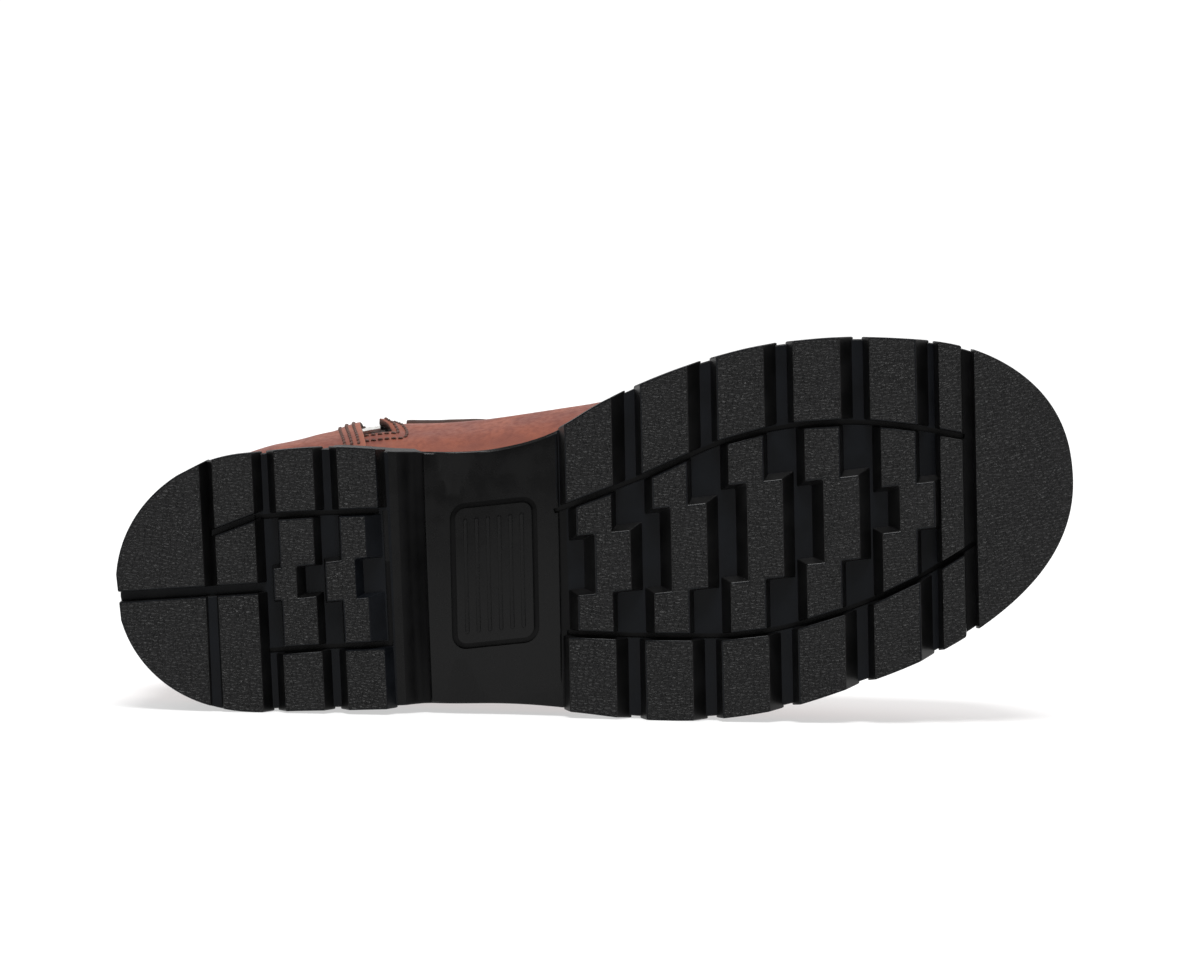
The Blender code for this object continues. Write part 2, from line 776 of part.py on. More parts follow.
def make_collar(parts):
    """Padded roll capping the top edge, from one side of the zip round to the other."""
    rings = []
    for column, s in enumerate(columns_around(TOP_ROW, COLLAR_OPENING)):
        ring = []
        for height, offset in COLLAR_SECTION:
            row = row_at_depth(max(-height, 0), s)
            point = wall_point(row, columns_around(row, COLLAR_OPENING)[column], offset)
            point[2] += max(height, 0)
            ring.append(point)
        rings.append(ring)
    points, faces = loft(rings)
    count = len(COLLAR_SECTION)
    faces += [tuple(range(count)), tuple(range(len(points) - count, len(points)))]
    return new_object("collar", new_mesh("collar", points, faces), parts)


def make_insole(parts):
    """Footbed on the seat, clear of the wall."""
    places = np.linspace(0, 1, INSOLE_STATIONS)
    medial = [upper_point(0, -s)[:2] for s in places]
    lateral = [upper_point(0, s)[:2] for s in places[-2:0:-1]]
    outline = inset(medial + lateral, WALL + INSOLE_CLEAR)
    rings = [[(x, y, seat(x) + GAP + rise) for x, y in outline] for rise in (0, INSOLE_THICKNESS)]
    points, faces = loft(rings)
    count = len(outline)
    faces += strip_cap(0, count, 0) + strip_cap(count, count, 0)
    return new_object("insole", new_mesh("insole", points, faces), parts)


# Zip


def zip_frame(row):
    """Middle of the zip on the wall's outer face, with the directions across it, up it and outwards."""
    s = -share_at(row, zip_place(row))
    top = min(row + ZIP_ROW_STEP, TOP_ROW)
    bottom = row - ZIP_ROW_STEP
    up = upper_point(top, -share_at(top, zip_place(top))) - upper_point(bottom, s)
    normal = upper_normal(row, s)
    across = np.cross(up, normal)
    across /= np.linalg.norm(across)
    return upper_point(row, s), across, np.cross(normal, across), normal


def zip_strip(name, parts, rows, width, low, high):
    """Strip along the zip between two offsets from the wall's outer face."""
    half = width / 2
    corners = ((-half, low), (half, low), (half, high), (-half, high))
    rings = []
    for row in rows:
        middle, across, _, normal = zip_frame(row)
        rings.append([middle + aside * across + depth * normal for aside, depth in corners])
    points, faces = loft(rings)
    last = len(points) - len(corners)
    faces += [tuple(range(len(corners))), tuple(range(last, len(points)))]
    return new_object(name, new_mesh(name, points, faces), parts)


def flat_shape(name, outlines, thickness, collection):
    """Plate of the given outlines, the first one outside and the others holes, centred on its plane."""
    curve = bpy.data.curves.new(name, "CURVE")
    curve.dimensions = "2D"
    curve.fill_mode = "BOTH"
    curve.extrude = MM * thickness / 2
    for outline in outlines:
        spline = curve.splines.new("POLY")
        spline.points.add(len(outline) - 1)
        spline.use_cyclic_u = True
        for point, (x, y) in zip(spline.points, outline):
            point.co = (MM * x, MM * y, 0, 1)
    drawn = new_object(name, curve, collection)
    bpy.context.view_layer.update()
    solid = drawn.evaluated_get(bpy.context.evaluated_depsgraph_get())
    mesh = bpy.data.meshes.new_from_object(solid)
    bpy.data.objects.remove(drawn, do_unlink=True)
    mesh.name = name
    return new_object(name, clean(mesh), collection)


def rounded(corners, radius):
    """Outline with its corners rounded by arcs of about the given radius."""
    ring = [np.array(corner, float) for corner in corners]
    outline = []
    for before, corner, after in zip(ring[-1:] + ring[:-1], ring, ring[1:] + ring[:1]):
        start = corner + radius * (before - corner) / np.linalg.norm(before - corner)
        end = corner + radius * (after - corner) / np.linalg.norm(after - corner)
        for t in np.linspace(0, 1, CORNER_STEPS + 1):
            outline.append(tuple((1 - t) ** 2 * start + 2 * t * (1 - t) * corner + t * t * end))
    return outline


def oblong(half, low, high):
    """Corners of an upright rectangle about the y axis."""
    return ((-half, low), (half, low), (half, high), (-half, high))


def zip_matrix(row, outward):
    """Places a shape drawn with x across the zip, y up it and z outwards."""
    middle, across, up, normal = zip_frame(row)
    turn = Matrix((across, up, normal)).transposed().to_4x4()
    return Matrix.Translation(Vector(MM * (middle + outward * normal))) @ turn


def bridge(half, crown, corner):
    """Rounded top of an upright rectangle, from its left foot to its right one."""
    outline = rounded(oblong(half, -crown, crown), corner)
    top = sorted(point for point in outline if point[1] > 0)
    return [(-half, -ARCH_SINK), *top, (half, -ARCH_SINK)]


def make_slider(parts, cutters):
    """Body of the slider with the arch that holds its tab."""
    half = SLIDER_LENGTH / 2
    wide = SLIDER_WIDTH / 2
    narrow = SLIDER_WAIST / 2
    body = rounded(((-narrow, -half), (narrow, -half), (wide, half), (-wide, half)), SLIDER_CORNER)
    thickness = SLIDER_TOP - CHAIN_LOW
    obj = flat_shape("zip_slider", [body], thickness, parts)
    obj.matrix_basis = zip_matrix(SLIDER_ROW, SLIDER_TOP - thickness / 2)
    outside = bridge(ARCH_HALF_LENGTH, ARCH_INSIDE + ARCH_THICKNESS, ARCH_CORNER)
    inside = bridge(ARCH_HALF_LENGTH - ARCH_THICKNESS, ARCH_INSIDE, ARCH_HOLLOW_CORNER)
    arch = flat_shape("slider_arch", [outside + inside[::-1]], ARCH_WIDTH, cutters)
    on_edge = Matrix(((0, 0, 1), (1, 0, 0), (0, 1, 0))).to_4x4()
    arch.matrix_basis = zip_matrix(SLIDER_ROW, SLIDER_TOP) @ on_edge
    union = obj.modifiers.new("arch", "BOOLEAN")
    union.operation = "UNION"
    union.object = arch
    return obj, arch


def make_pull(parts):
    """Tab hanging from the arch by the bar of its eye, lying along the chain towards the sole."""
    top = PULL_BAR / 2
    wide = PULL_WIDTH / 2
    tip = PULL_TIP_WIDTH / 2
    eye_width, eye_end = PULL_EYE
    slot_top, slot_end = PULL_SLOT
    tab = rounded(((-wide, top), (-tip, -PULL_LENGTH), (tip, -PULL_LENGTH), (wide, top)), PULL_CORNER)
    eye = rounded(oblong(eye_width / 2, -eye_end, -top), PULL_EYE_CORNER)
    slot = rounded(oblong(eye_width / 2, slot_end, slot_top), PULL_CORNER)
    obj = flat_shape("zip_pull", [tab, eye, slot], PULL_THICKNESS, parts)
    droop = Matrix.Rotation(math.radians(PULL_DROOP), 4, "X")
    obj.matrix_basis = zip_matrix(SLIDER_ROW, SLIDER_TOP + PULL_AXIS) @ droop
    return obj


def make_zip(parts, cutters):
    """Tape in the slot, closed chain with its bottom stop, slider at the top and its tab."""
    rows = [row for row in UPPER_ROWS if row > SLOT_ROW]
    tape_rows = [SLOT_ROW + TAPE_START, *rows[:-1], TOP_ROW - TAPE_END]
    tape_width = SLOT_WIDTH - 2 * TAPE_CLEAR
    tape_top = TAPE_THICKNESS - TAPE_DEPTH
    chain_start = STOP_ROWS[1] + CHAIN_START
    inner_rows = [row for row in rows if chain_start < row < CHAIN_END_ROW]
    chain_rows = [chain_start, *inner_rows, CHAIN_END_ROW]
    made = [
        zip_strip("zip_tape", parts, tape_rows, tape_width, -TAPE_DEPTH, tape_top),
        zip_strip("zip_stop", parts, STOP_ROWS, STOP_WIDTH, CHAIN_LOW, CHAIN_TOP + GAP),
        zip_strip("zip_chain", parts, chain_rows, CHAIN_WIDTH, CHAIN_LOW, CHAIN_TOP),
        make_pull(parts),
    ]
    slider, arch = make_slider(parts, cutters)
    return [*made, slider], arch


def clear_scene():
    for obj in list(bpy.data.objects):
        bpy.data.objects.remove(obj, do_unlink=True)


def new_collection(name):
    collection = bpy.data.collections.new(name)
    bpy.context.scene.collection.children.link(collection)
    return collection


def world_points(objects):
    """Every corner of the finished parts, where they lie."""
    bpy.context.view_layer.update()
    graph = bpy.context.evaluated_depsgraph_get()
    corners = []
    for obj in objects:
        solid = obj.evaluated_get(graph)
        mesh = solid.to_mesh()
        corners += [solid.matrix_world @ vertex.co for vertex in mesh.vertices]
        solid.to_mesh_clear()
    return np.array(corners)


def lay_down(parts, helpers):
    """Hangs the parts on an empty that lays the boot on its outer side, centred on the floor."""
    rest = bpy.data.objects.new("on_its_side", None)
    bpy.context.scene.collection.objects.link(rest)
    for obj in parts + helpers:
        obj.parent = rest
    on_side = Matrix.Rotation(math.radians(-90 + LIE_LEAN), 4, "X")
    turn = Matrix.Rotation(math.radians(-LIE_ROLL), 4, "Y") @ on_side
    rest.matrix_basis = turn
    corners = world_points(parts)
    low = corners.min(axis=0)
    high = corners.max(axis=0)
    drop = Vector((-(low[0] + high[0]) / 2, -(low[1] + high[1]) / 2, -low[2]))
    rest.matrix_basis = Matrix.Translation(drop) @ turn


def main():
    clear_scene()
    parts = new_collection("side_zip_work_boot")
    cutters = new_collection("cutters")
    outsole, lugs = make_outsole(parts, cutters)
    zip_parts, arch = make_zip(parts, cutters)
    made = [outsole, *zip_parts]
    for make in (make_insole, make_upper, make_counter, make_collar):
        made.append(make(parts))
    for obj in made:
        paint(obj)
    for helper in (lugs, arch):
        helper.hide_render = True
        helper.display_type = "WIRE"
    lay_down(made, [lugs, arch])


main()
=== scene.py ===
import math

import bmesh
import bpy
import numpy as np
from mathutils import Matrix, Vector


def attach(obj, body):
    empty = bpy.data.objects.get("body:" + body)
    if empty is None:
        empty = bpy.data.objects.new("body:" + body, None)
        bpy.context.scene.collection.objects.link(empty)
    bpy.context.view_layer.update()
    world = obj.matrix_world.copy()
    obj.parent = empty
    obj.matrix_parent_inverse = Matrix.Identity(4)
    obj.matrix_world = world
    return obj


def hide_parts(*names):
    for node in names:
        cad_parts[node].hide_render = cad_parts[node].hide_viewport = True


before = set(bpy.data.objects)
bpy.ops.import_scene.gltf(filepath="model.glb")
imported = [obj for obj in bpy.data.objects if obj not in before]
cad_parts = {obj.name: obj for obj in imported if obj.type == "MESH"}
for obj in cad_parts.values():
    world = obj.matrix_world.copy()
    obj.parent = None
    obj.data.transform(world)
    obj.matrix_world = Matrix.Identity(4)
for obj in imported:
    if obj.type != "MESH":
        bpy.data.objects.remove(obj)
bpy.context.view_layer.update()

# Looks of a left side-zip work boot lying on its outer side. Shapes are worked out in the boot's
# own frame: x from the back of the heel to the toe, y to the outer side, z up from the ground, in
# millimetres. lay_down turns them into the frame's metres.

MM = 0.001
GAP = 0.3
MERGE = 0.0001
MERGE_SLIVERS = 0.003
LIE_ROLL = 7.25
LIE_LEAN = -0.08
LIE_PLACE = (-0.152102, -0.093618, 0.035626)

# Outsole
LENGTH = 307.4
HEEL_CAP = 45.0
TOE_CAP = 100.0
HEEL_ROUND = 2.05
TOE_ROUND = 2.2
SOLE_OUTLINE = (
    # x, centre (outer side positive), half width before the ends are rounded
    (0, 0.0, 41.2),
    (45, 0.0, 41.4),
    (70, 1.35, 42.15),
    (100, 4.85, 41.25),
    (125, 7.1, 41.9),
    (142, 7.3, 44.9),
    (160, 5.3, 50.8),
    (180, 3.2, 55.3),
    (203, 0.6, 57.5),
    (230, -2.5, 56.7),
    (255, -4.6, 56.4),
    (280, -7.3, 57.0),
    (308, -9.0, 57.4),
)
SOLE_PROFILE = (
    # x, groove floor, seat of the upper
    (0, 5.9, 33.0),
    (12, 5.5, 33.0),
    (50, 5.5, 33.0),
    (86, 5.5, 31.0),
    (90.2, 5.9, 30.5),
    (92.6, 8.8, 30.2),
    (95.4, 12.0, 29.7),
    (98.4, 12.7, 29.3),
    (101.5, 11.2, 28.8),
    (120, 10.6, 25.8),
    (142, 8.6, 22.4),
    (160, 6.6, 20.0),
    (185, 5.5, 18.0),
    (215, 5.5, 17.5),
    (245, 6.9, 18.8),
    (275, 11.4, 23.2),
    (308, 18.7, 30.7),
)
SIDE_PROFILE = (
    # height below the seat, inset from the outline: the wall, a rounded groove, the welt line
    (7.35, 1.25),
    (6.95, 1.45),
    (6.6, 2.1),
    (6.2, 2.45),
    (5.6, 2.55),
    (5.0, 2.45),
    (4.6, 2.0),
    (4.25, 1.6),
    (3.8, 1.5),
    (2.0, 1.75),
    (0.4, 2.2),
    (0.0, 2.5),
)
FOOT_PROFILE = (
    # height over the groove floor, inset: the rounded foot of the side wall
    (0.0, 1.3),
    (0.1, 0.95),
    (0.45, 0.7),
)
FLARE = 1.2
FLARE_SPAN = (69.0, 74.0, 99.4, 100.4)
WAIST_SLANT = 0.069
SLANT_SPAN = (30.0, 74.0, 150.0, 205.0)
SOLE_STATIONS = 150
END_CROWDING = 0.7

# Tread
HEEL_END = 88.0
WAIST_LIFT = 2.0
FLAT_FROM = 185.0
FLAT_TO = 215.0
TOE_SPRING = 13.0
LUG_SINK = 0.6
LUG_RUN_UP = 5.0
LUG_RUN_IN = 2.2
LUG_ROUND = 0.45
LUG_ROUND_STEPS = 2
CORNER_ANGLE = 25.0
EDGE_STEPS = 8
CROSSING_STEPS = 6
STRAIGHT_SINE = 0.15
RAIL_DRAFT = 0.2
RAIL_HALF = 1.1
SPLIT_HALF = 1.6
FORE_SKEW = 0.086
FORE_DRAFTS = (4.6, 1.9)
FORE_FIRST = 143.8
FORE_PITCH = 24.4
FORE_LUG = 15.0
FORE_ROWS = 5
LAST_ROW = (263.6, 271.0)
LAST_DRAFTS = (0.6, 1.2)
TOE_DRAFT = 0.5
TOE_PLATE_FROM = 275.2
TOE_PLATE_STATIONS = 30
FORE_RAILS = (
    # x, medial rail, lateral rail (distance from the boot's axis)
    (140, -12.0, 26.6),
    (170, -20.2, 30.6),
    (200, -29.3, 33.0),
    (225, -31.4, 29.8),
    (250, -28.6, 22.9),
    (274, -22.0, 12.2),
)
CHEVRON_REAR = 3.3
CHEVRON_LENGTH = 11.2
CHEVRON_SHIFT = 5.8
CHEVRON_DRAFTS = (0.2, 1.6, 2.2, 4.3, 0.8, 1.6, 0.2, 3.2, 2.0, 4.0, 1.8, 2.8)
CHEVRON_MIDDLES = (
    # medial end, lateral end of the forward middle block, heel to toe
    (-4.0, 15.0),
    (-10.0, 16.8),
    (-15.0, 16.0),
    (-13.6, 12.8),
    (-9.0, 5.6),
)
HEEL_SKEW = 0.06
HEEL_DRAFTS = (3.0, 2.8)
HEEL_BACK_PLATE = 28.2
PLATE_LAST_STEP = 4.0
HEEL_ROWS = (
    # rear, front
    (32.4, 45.0),
    (52.2, 64.5),
    (72.2, 84.4),
)
HEEL_RAILS = (
    # x, medial rail, lateral rail
    (20, -20.6, 22.0),
    (52, -20.4, 22.3),
    (90, -18.2, 24.4),
)
HEEL_SPLIT = (
    # x, groove along the middle of the back plate
    (0, -0.2),
    (48, 1.9),
)
HEEL_DIAGONAL = (
    # x, slanted groove of the first row
    (32, -17.0),
    (46, -20.8),
)
HEEL_CHEVRONS = (
    # rear and front, the middle block's rear and front, its medial and lateral end
    ((52.6, 63.6), (50.2, 57.5), (-3.8, 6.3)),
    ((72.0, 80.1), (66.8, 76.3), (-4.2, 8.4)),
)
HEEL_CHEVRON_DRAFTS = (
    # the sides of each chevron, from its medial rail round by the front
    (0.2, 2.4, 0.7, 3.0, 1.3, 2.4, 0.2, 0.6, 0.7, 0.6, 1.3, 0.6),
    (0.2, 5.6, 0.7, 2.6, 1.3, 5.6, 0.2, 0.7, 0.7, 0.7, 1.3, 0.7),
)
SHALLOW_GROOVE = (27.4, 33.2)
SHALLOW_DEPTH = 1.3
CUT_HALF = 0.8
CUT_DEPTH = 1.6
CUT_RISE = 1.5
CUT_STEPS = 40
FORE_CUT = (141.0, 274.0)
HEEL_CUT = (46.0, 85.6)
PLATE_SPAN = (98.6, 141.6)
PLATE_STEPS = 16
PLATE_COLUMNS = 30
PLATE_INSET = 1.1
PLATE_SKEW = (WAIST_SLANT, 0.086)
PLATE_PROFILE = (
    # x, height of the plate's face along its middle
    (90, 9.7),
    (100, 9.5),
    (120, 9.1),
    (142, 7.2),
    (150, 6.3),
)
PLATE_CROWN = 1.4
PLATE_SINK = 3.0
PLATE_RIM = (
    # distance from the plate's rim, how far its face falls back there
    (0.0, 0.6),
    (0.12, 0.28),
    (0.4, 0.07),
    (0.85, 0.0),
)
PANEL_CENTRE = (120.0, 5.4)
PANEL_SIZE = (24.5, 43.0)
PANEL_CORNER = 3.0
PANEL_CORNER_STEPS = 6
MOAT_WIDTH = 1.8
MOAT_DEPTH = 2.0
MOAT_CLEAR = 2.0
RIB_COUNT = 6
RIB_WIDTH = 1.3
RIB_CORNER = 0.62
RIB_RISE = 0.5
RIB_MARGIN = 3.2
RIB_SINK = 0.6

# Zones of the outsole's rubber
TREAD_ZONE, FLOOR_ZONE, WALL_ZONE, WAIST_ZONE, SHADED_COVE_ZONE, SIDE_ZONE = range(6)
TREAD_DEPTH = 0.75
TREAD_FACING = -0.95
FACING_GROUND = -0.35
FLOOR_FACING = -0.9
SIDE_REACH = 3.2
WAIST_SPAN = (86.5, 142.4)
COVE_FROM = 91.0
MOAT_FLOOR = 0.5
DEEP_FLOOR = 0.7
GROOVE_REACH = 0.6
HEEL_RAMPS = (76.0, HEEL_END)
SOLE_SHARP = 40.0

# Upper
WALL = 2.0
UPPER_RINGS = (
    # ends of each ring: back x, height over the seat, front x, height over the seat;
    # half widths at heel, waist and ball; share of the ring rounded at the back and front
    (8.0, 0.0, 298.0, 0.0, 35.0, 37.5, 51.0, 0.16, 0.34),
    (5.5, 11.0, 300.0, 11.0, 38.4, 42.0, 53.4, 0.17, 0.34),
    (4.0, 25.0, 296.5, 25.0, 39.2, 43.2, 51.8, 0.17, 0.36),
    (5.0, 39.0, 286.0, 40.5, 38.6, 42.8, 48.0, 0.19, 0.42),
    (8.0, 53.0, 258.0, 54.0, 37.4, 41.4, 43.0, 0.22, 0.50),
    (11.0, 65.0, 221.0, 66.0, 36.2, 40.0, 39.2, 0.28, 0.52),
    (13.0, 75.0, 189.0, 80.0, 35.6, 38.8, 35.8, 0.36, 0.52),
    (14.0, 85.0, 165.0, 95.5, 35.6, 38.0, 36.4, 0.46, 0.48),
    (14.0, 97.0, 149.0, 111.0, 36.4, 37.8, 37.4, 0.53, 0.42),
    (13.0, 112.0, 140.0, 125.5, 37.2, 38.0, 38.2, 0.57, 0.36),
    (12.0, 129.0, 136.0, 142.0, 37.8, 38.4, 38.6, 0.60, 0.32),
    (12.0, 145.0, 135.0, 158.0, 38.2, 38.6, 38.6, 0.60, 0.30),
)
TOP_ROW = len(UPPER_RINGS) - 1
RING_ROUND = 2.25
WIDTH_AT = (0, 0.2, 0.45, 0.7, 1)
WIDTH_SHARES = (
    # where heel, waist and ball widths hold, at the places of WIDTH_AT
    (1, 1, 0, 0, 0),
    (0, 0, 1, 0, 0),
    (0, 0, 0, 1, 1),
)
SWING_FROM = 210.0
ARCH_SHIFT = 5.0
ARCH_X = 130.0
ARCH_REACH = 45.0
ARCH_RINGS = 2.0
SHAFT_SHIFT = 1.6
ANKLE_BULGE = 4.5
ANKLE_X = 84.0
ANKLE_REACH = 20.0
ANKLE_ROW = 2.8
ANKLE_ROWS = 1.7
NORMAL_ROW_STEP = 0.05
NORMAL_S_STEP = 0.004
WALL_ROWS = 111
FRONT_COLUMNS = 84
BACK_COLUMNS = 44
SLOT_COLUMNS = 6
COLUMN_CROWDING = 0.55

# Soft forms of the leather
CREASES = (
    # x at the middle, middle row, forward lean in mm for a row, rows reached, half width, depth
    (233.0, 4.0, -9.0, 1.5, 3.4, 0.55),
    (222.0, 4.5, -11.0, 1.7, 3.2, 0.95),
    (210.0, 4.8, -12.0, 1.6, 3.6, 0.8),
    (198.0, 5.2, -12.0, 1.2, 3.2, 0.45),
    (168.0, 6.4, -10.0, 1.1, 4.2, 0.8),
    (153.0, 7.2, -9.0, 1.2, 4.0, 0.9),
    (30.0, 6.6, 12.0, 0.7, 3.6, 0.6),
)
RIDGE_SHARE = 0.42
RIDGE_AT = 1.7
UNEVEN = 0.18
UNEVEN_BACK = 0.3
UNEVEN_FROM = 86.0
UNEVEN_WAVES = (
    # mm along the boot to a radian, radians to a row
    (9.7, 1.9),
    (-23.0, 2.3),
    (17.0, -1.3),
)
PLACKET_LIFT = 2.4
PLACKET_FROM = -2.35
PLACKET_REACH = 7.0
PLACKET_ROWS = (1.5, 2.6, 7.4, 8.6)
FOLD_LIFT = 0.8
FOLD_ROWS = (0.95, 1.35, 1.5, 1.6)
FOLD_REACH = 4.0
MEDIAL_FULLNESS = (
    # x, how far the medial wall stands out
    (60, 0.0),
    (92, 0.1),
    (100, 0.6),
    (110, 1.0),
    (122, 0.75),
    (135, 0.35),
    (147, -0.2),
    (158, -1.0),
    (168, -1.3),
    (200, -0.5),
    (235, 0.0),
)
FULLNESS_ROWS = (0.3, 1.2, 4.0, 6.5)
CREASE_END_ROWS = (8.0, 8.8)
CREASE_START_ROWS = (0.0, 0.6)
EDGE_WEAR = 0.5
EDGE_WEAR_REACH = 1.4
WEAR_ROWS = 0.3

# Overlays
COUNTER_FRONT = 80.0
COUNTER_LEAN = 2.6
COUNTER_LEAN_ROWS = (0.0, 2.6)
COUNTER_FULL = 1.0
COUNTER_FULL_SPAN = (40.0, 53.0, 64.0, 76.0)
COUNTER_FULL_ROWS = (0.2, 1.2, 3.4, 4.6)
COUNTER_START = 0.05
COUNTER_TOP_ROW = 5.0
COUNTER_DIP = 0.9
COUNTER_DIP_POWER = 3
COUNTER_ROWS = 64
COUNTER_COLUMNS = 141
COUNTER_CLEAR = 0.25
COUNTER_THICKNESS = 1.6
COUNTER_BAND = 0.8
COUNTER_BAND_WIDTH = 9.0
COUNTER_EDGE_ROUND = 0.5
COUNTER_ROUND_ANGLE = 50.0
COLLAR_OUTSIDE = (
    # height from the top edge, offset from the wall's outer face: a padded roll over the edge
    (-34.0, 0.5),
    (-33.0, 1.9),
    (-27.0, 4.3),
    (-17.0, 5.4),
    (-7.0, 4.9),
    (0.5, 3.3),
    (3.2, 0.5),
    (3.2, -2.4),
    (1.0, -4.6),
    (-8.0, -5.6),
    (-22.0, -5.0),
    (-33.0, -3.4),
    (-34.0, -2.6),
)
COLLAR_SEAT = (
    # the slot that grips the wall's edge
    (-16.0, -2.6),
    (0.4, -2.5),
    (0.4, 0.4),
    (-16.0, 0.5),
)
COLLAR_FULLNESS = (
    # x, how far the padding is fuller on the medial side
    (60, 0.0),
    (84, 0.8),
    (91, 0.8),
    (96, 0.25),
    (102, -0.2),
    (105, 0.0),
    (109, 0.5),
    (112.5, 1.4),
    (116, 2.4),
    (120, 3.3),
    (126, 3.3),
    (133, 1.5),
    (140, 0.0),
)
COLLAR_FULL_OFFSETS = (0.5, 3.0)
COLLAR_OPENING = 15.0
COLLAR_COLUMNS = 221
COLLAR_STEPS = 4
COLLAR_PADDED_FROM = 1.2
COLLAR_PUCKER = 0.28
COLLAR_PUCKER_REACH = 4.0
COLLAR_WAVES = (
    # size, radians once round, start
    (1.0, 151, 0.0),
    (0.7, 97, 1.3),
    (0.5, 233, 0.4),
)
COLLAR_CHANNEL = 0.9
COLLAR_CHANNEL_AT = -29.0
COLLAR_CHANNEL_HALF = 1.8
COLLAR_SHARP = 60.0
BISECTIONS = 30

# Side zip
ZIP_X_BOTTOM = 83.6
ZIP_X_TOP = 83.0
ZIP_ROW_STEP = 0.1
SLOT_WIDTH = 9.4
SLOT_ROW = 1.5
SLOT_FLARE = 2.3
SLOT_FLARE_ROWS = (1.5, 2.4)
SLOT_TUCK = 2.2
SLOT_TUCK_ROWS = (2.0, 2.6, 3.3, 4.6)
CHAIN_LOW = -0.9
CHAIN_THICKNESS = 2.2
CHAIN_ROWS = (1.83, 9.72)
CHAIN_SAMPLES = 200
CHAIN_DIP = 1.0
CHAIN_DIP_ROWS = (3.0, 5.0)
TOOTH_PITCH = 2.7
TOOTH_LENGTH = 1.15
TOOTH_INNER = 0.55
TOOTH_OUTER = 2.7
TOOTH_ROUND = 0.22
TOOTH_SHARP = 50.0
HARDWARE_ROUND = 0.22
HARDWARE_ROUND_ANGLE = 40.0

# Stitching
STITCH_PITCH = 2.25
STITCH_LENGTH = 1.8
STITCH_RADIUS = 0.5
STITCH_SLANT = 0.1
STITCH_PROFILE = (
    # share of the length, height over the leather, share of the thread's radius
    (0.0, -0.2, 0.5),
    (0.15, 0.16, 0.92),
    (0.5, 0.26, 1.0),
    (0.85, 0.16, 0.92),
    (1.0, -0.2, 0.5),
)
STITCH_SIDES = 6
STITCH_FLATTEN = 0.8
PATH_STEPS = 12
COUNTER_STITCH_FROM_EDGE = (1.7, 3.4, 5.1)
COUNTER_HALF_ROUND = 100.0
COUNTER_HEIGHT = 75.0
STITCH_RUNS = {
    # start, end and number of the places that the stitches pass
    "counter_up": (0.14, 0.93, 10),
    "counter_over": (-0.9, 0.9, 19),
    "collar": (0.01, 0.99, 400),
}
PLACKET_STITCHES = (
    # mm ahead of the slot, rows below it
    (1.9, 0.14),
    (4.7, 0.4),
)
PLACKET_STITCH_TOP = 8.7
PLACKET_STITCH_REAR = -2.4
PLACKET_STITCH_UNDER = 0.6
PLACKET_STITCH_CORNER = (0.12, 0.93)  # rows over the lowest stitches, share of the way ahead
PLACKET_STITCH_RISE = 0.4
PLACKET_UNDER_PLACES = 5
PLACKET_UP_PLACES = 24

# Finishes
MIX_INPUTS = (0, 6, 7)
WHOLE = (0.0, 1.0)
MIDDLE = (0.3, 0.7)
CELL_SHOULDER = (0.0, 0.3)
FUZZ_RANGE = (0.2, 0.8)
RUBBERS = {
    # colour, roughness, shine, grain, width of the grain's cells; in the order of the zones
    "tread_rubber": ((0.006, 0.006, 0.0063), 0.5, 0.25, 0.85, 1.75),
    # groove floors: smooth rubber whose bluish tint is a painted reflection of a bluish sheen
    "floor_rubber": ((0.0032, 0.0039, 0.0053), 0.34, 0.13, 0.0, 1.0),
    # groove walls: smooth rubber whose darker tone is painted shade
    "wall_rubber": ((0.0018, 0.0018, 0.0019), 0.38, 0.36, 0.0, 1.0),
    "waist_rubber": ((0.0036, 0.0036, 0.0037), 0.27, 0.17, 0.0, 1.0),
    # deep grooves, moat, cove and last groove: darker, duller rubber that is painted shade
    "cove_rubber": ((0.003, 0.003, 0.0032), 0.34, 0.12, 0.0, 1.0),
    # side wall: matte grained rubber whose lighter tone is painted light from above
    "side_rubber": ((0.01, 0.01, 0.0104), 0.6, 0.4, 0.4, 1.0),
}
RUBBER_SHADES = (0.75, 1.25)
ROUGHNESS_VARIES = 0.05
GRAIN_STRETCH = (1.0, 1.0, 1.7)
FINE_GRAIN = 0.45
FINE_GRAIN_SHARE = 0.5
LEATHER_TONES = ((0.17, 0.052, 0.037), (0.245, 0.074, 0.044))
LEATHER_MOTTLE = (0.13, 0.042, 0.035)
LEATHER_RUBBED = (0.3, 0.1, 0.058)
COLLAR_TONES = ((0.036, 0.017, 0.013), (0.066, 0.032, 0.024))
EDGE_TONES = ((0.035, 0.014, 0.011), (0.12, 0.05, 0.036))
THREAD_TONES = ((0.03, 0.012, 0.01), (0.17, 0.085, 0.065))
CLOTHS = {
    # dark tone, light tone, width of the weave's cells, sheen, scatter of the cells
    "lining": ((0.028, 0.019, 0.014), (0.085, 0.058, 0.043), 1.6, 0.15, 0.9),
    "tape_weave": ((0.02, 0.012, 0.01), (0.06, 0.037, 0.03), 0.55, 0.1, 0.25),
    "footbed": ((0.03, 0.027, 0.025), (0.09, 0.08, 0.072), 2.2, 0.15, 0.9),
}
METALS = {
    # least and greatest roughness
    "teeth_metal": (0.19, 0.38),
    "stop_metal": (0.23, 0.42),
    "slider_metal": (0.21, 0.4),
    "pull_metal": (0.21, 0.4),
}
METAL_TONES = ((0.5, 0.49, 0.47), (0.74, 0.73, 0.71))
SCRATCH_STRETCH = (1.0, 0.12, 1.0)

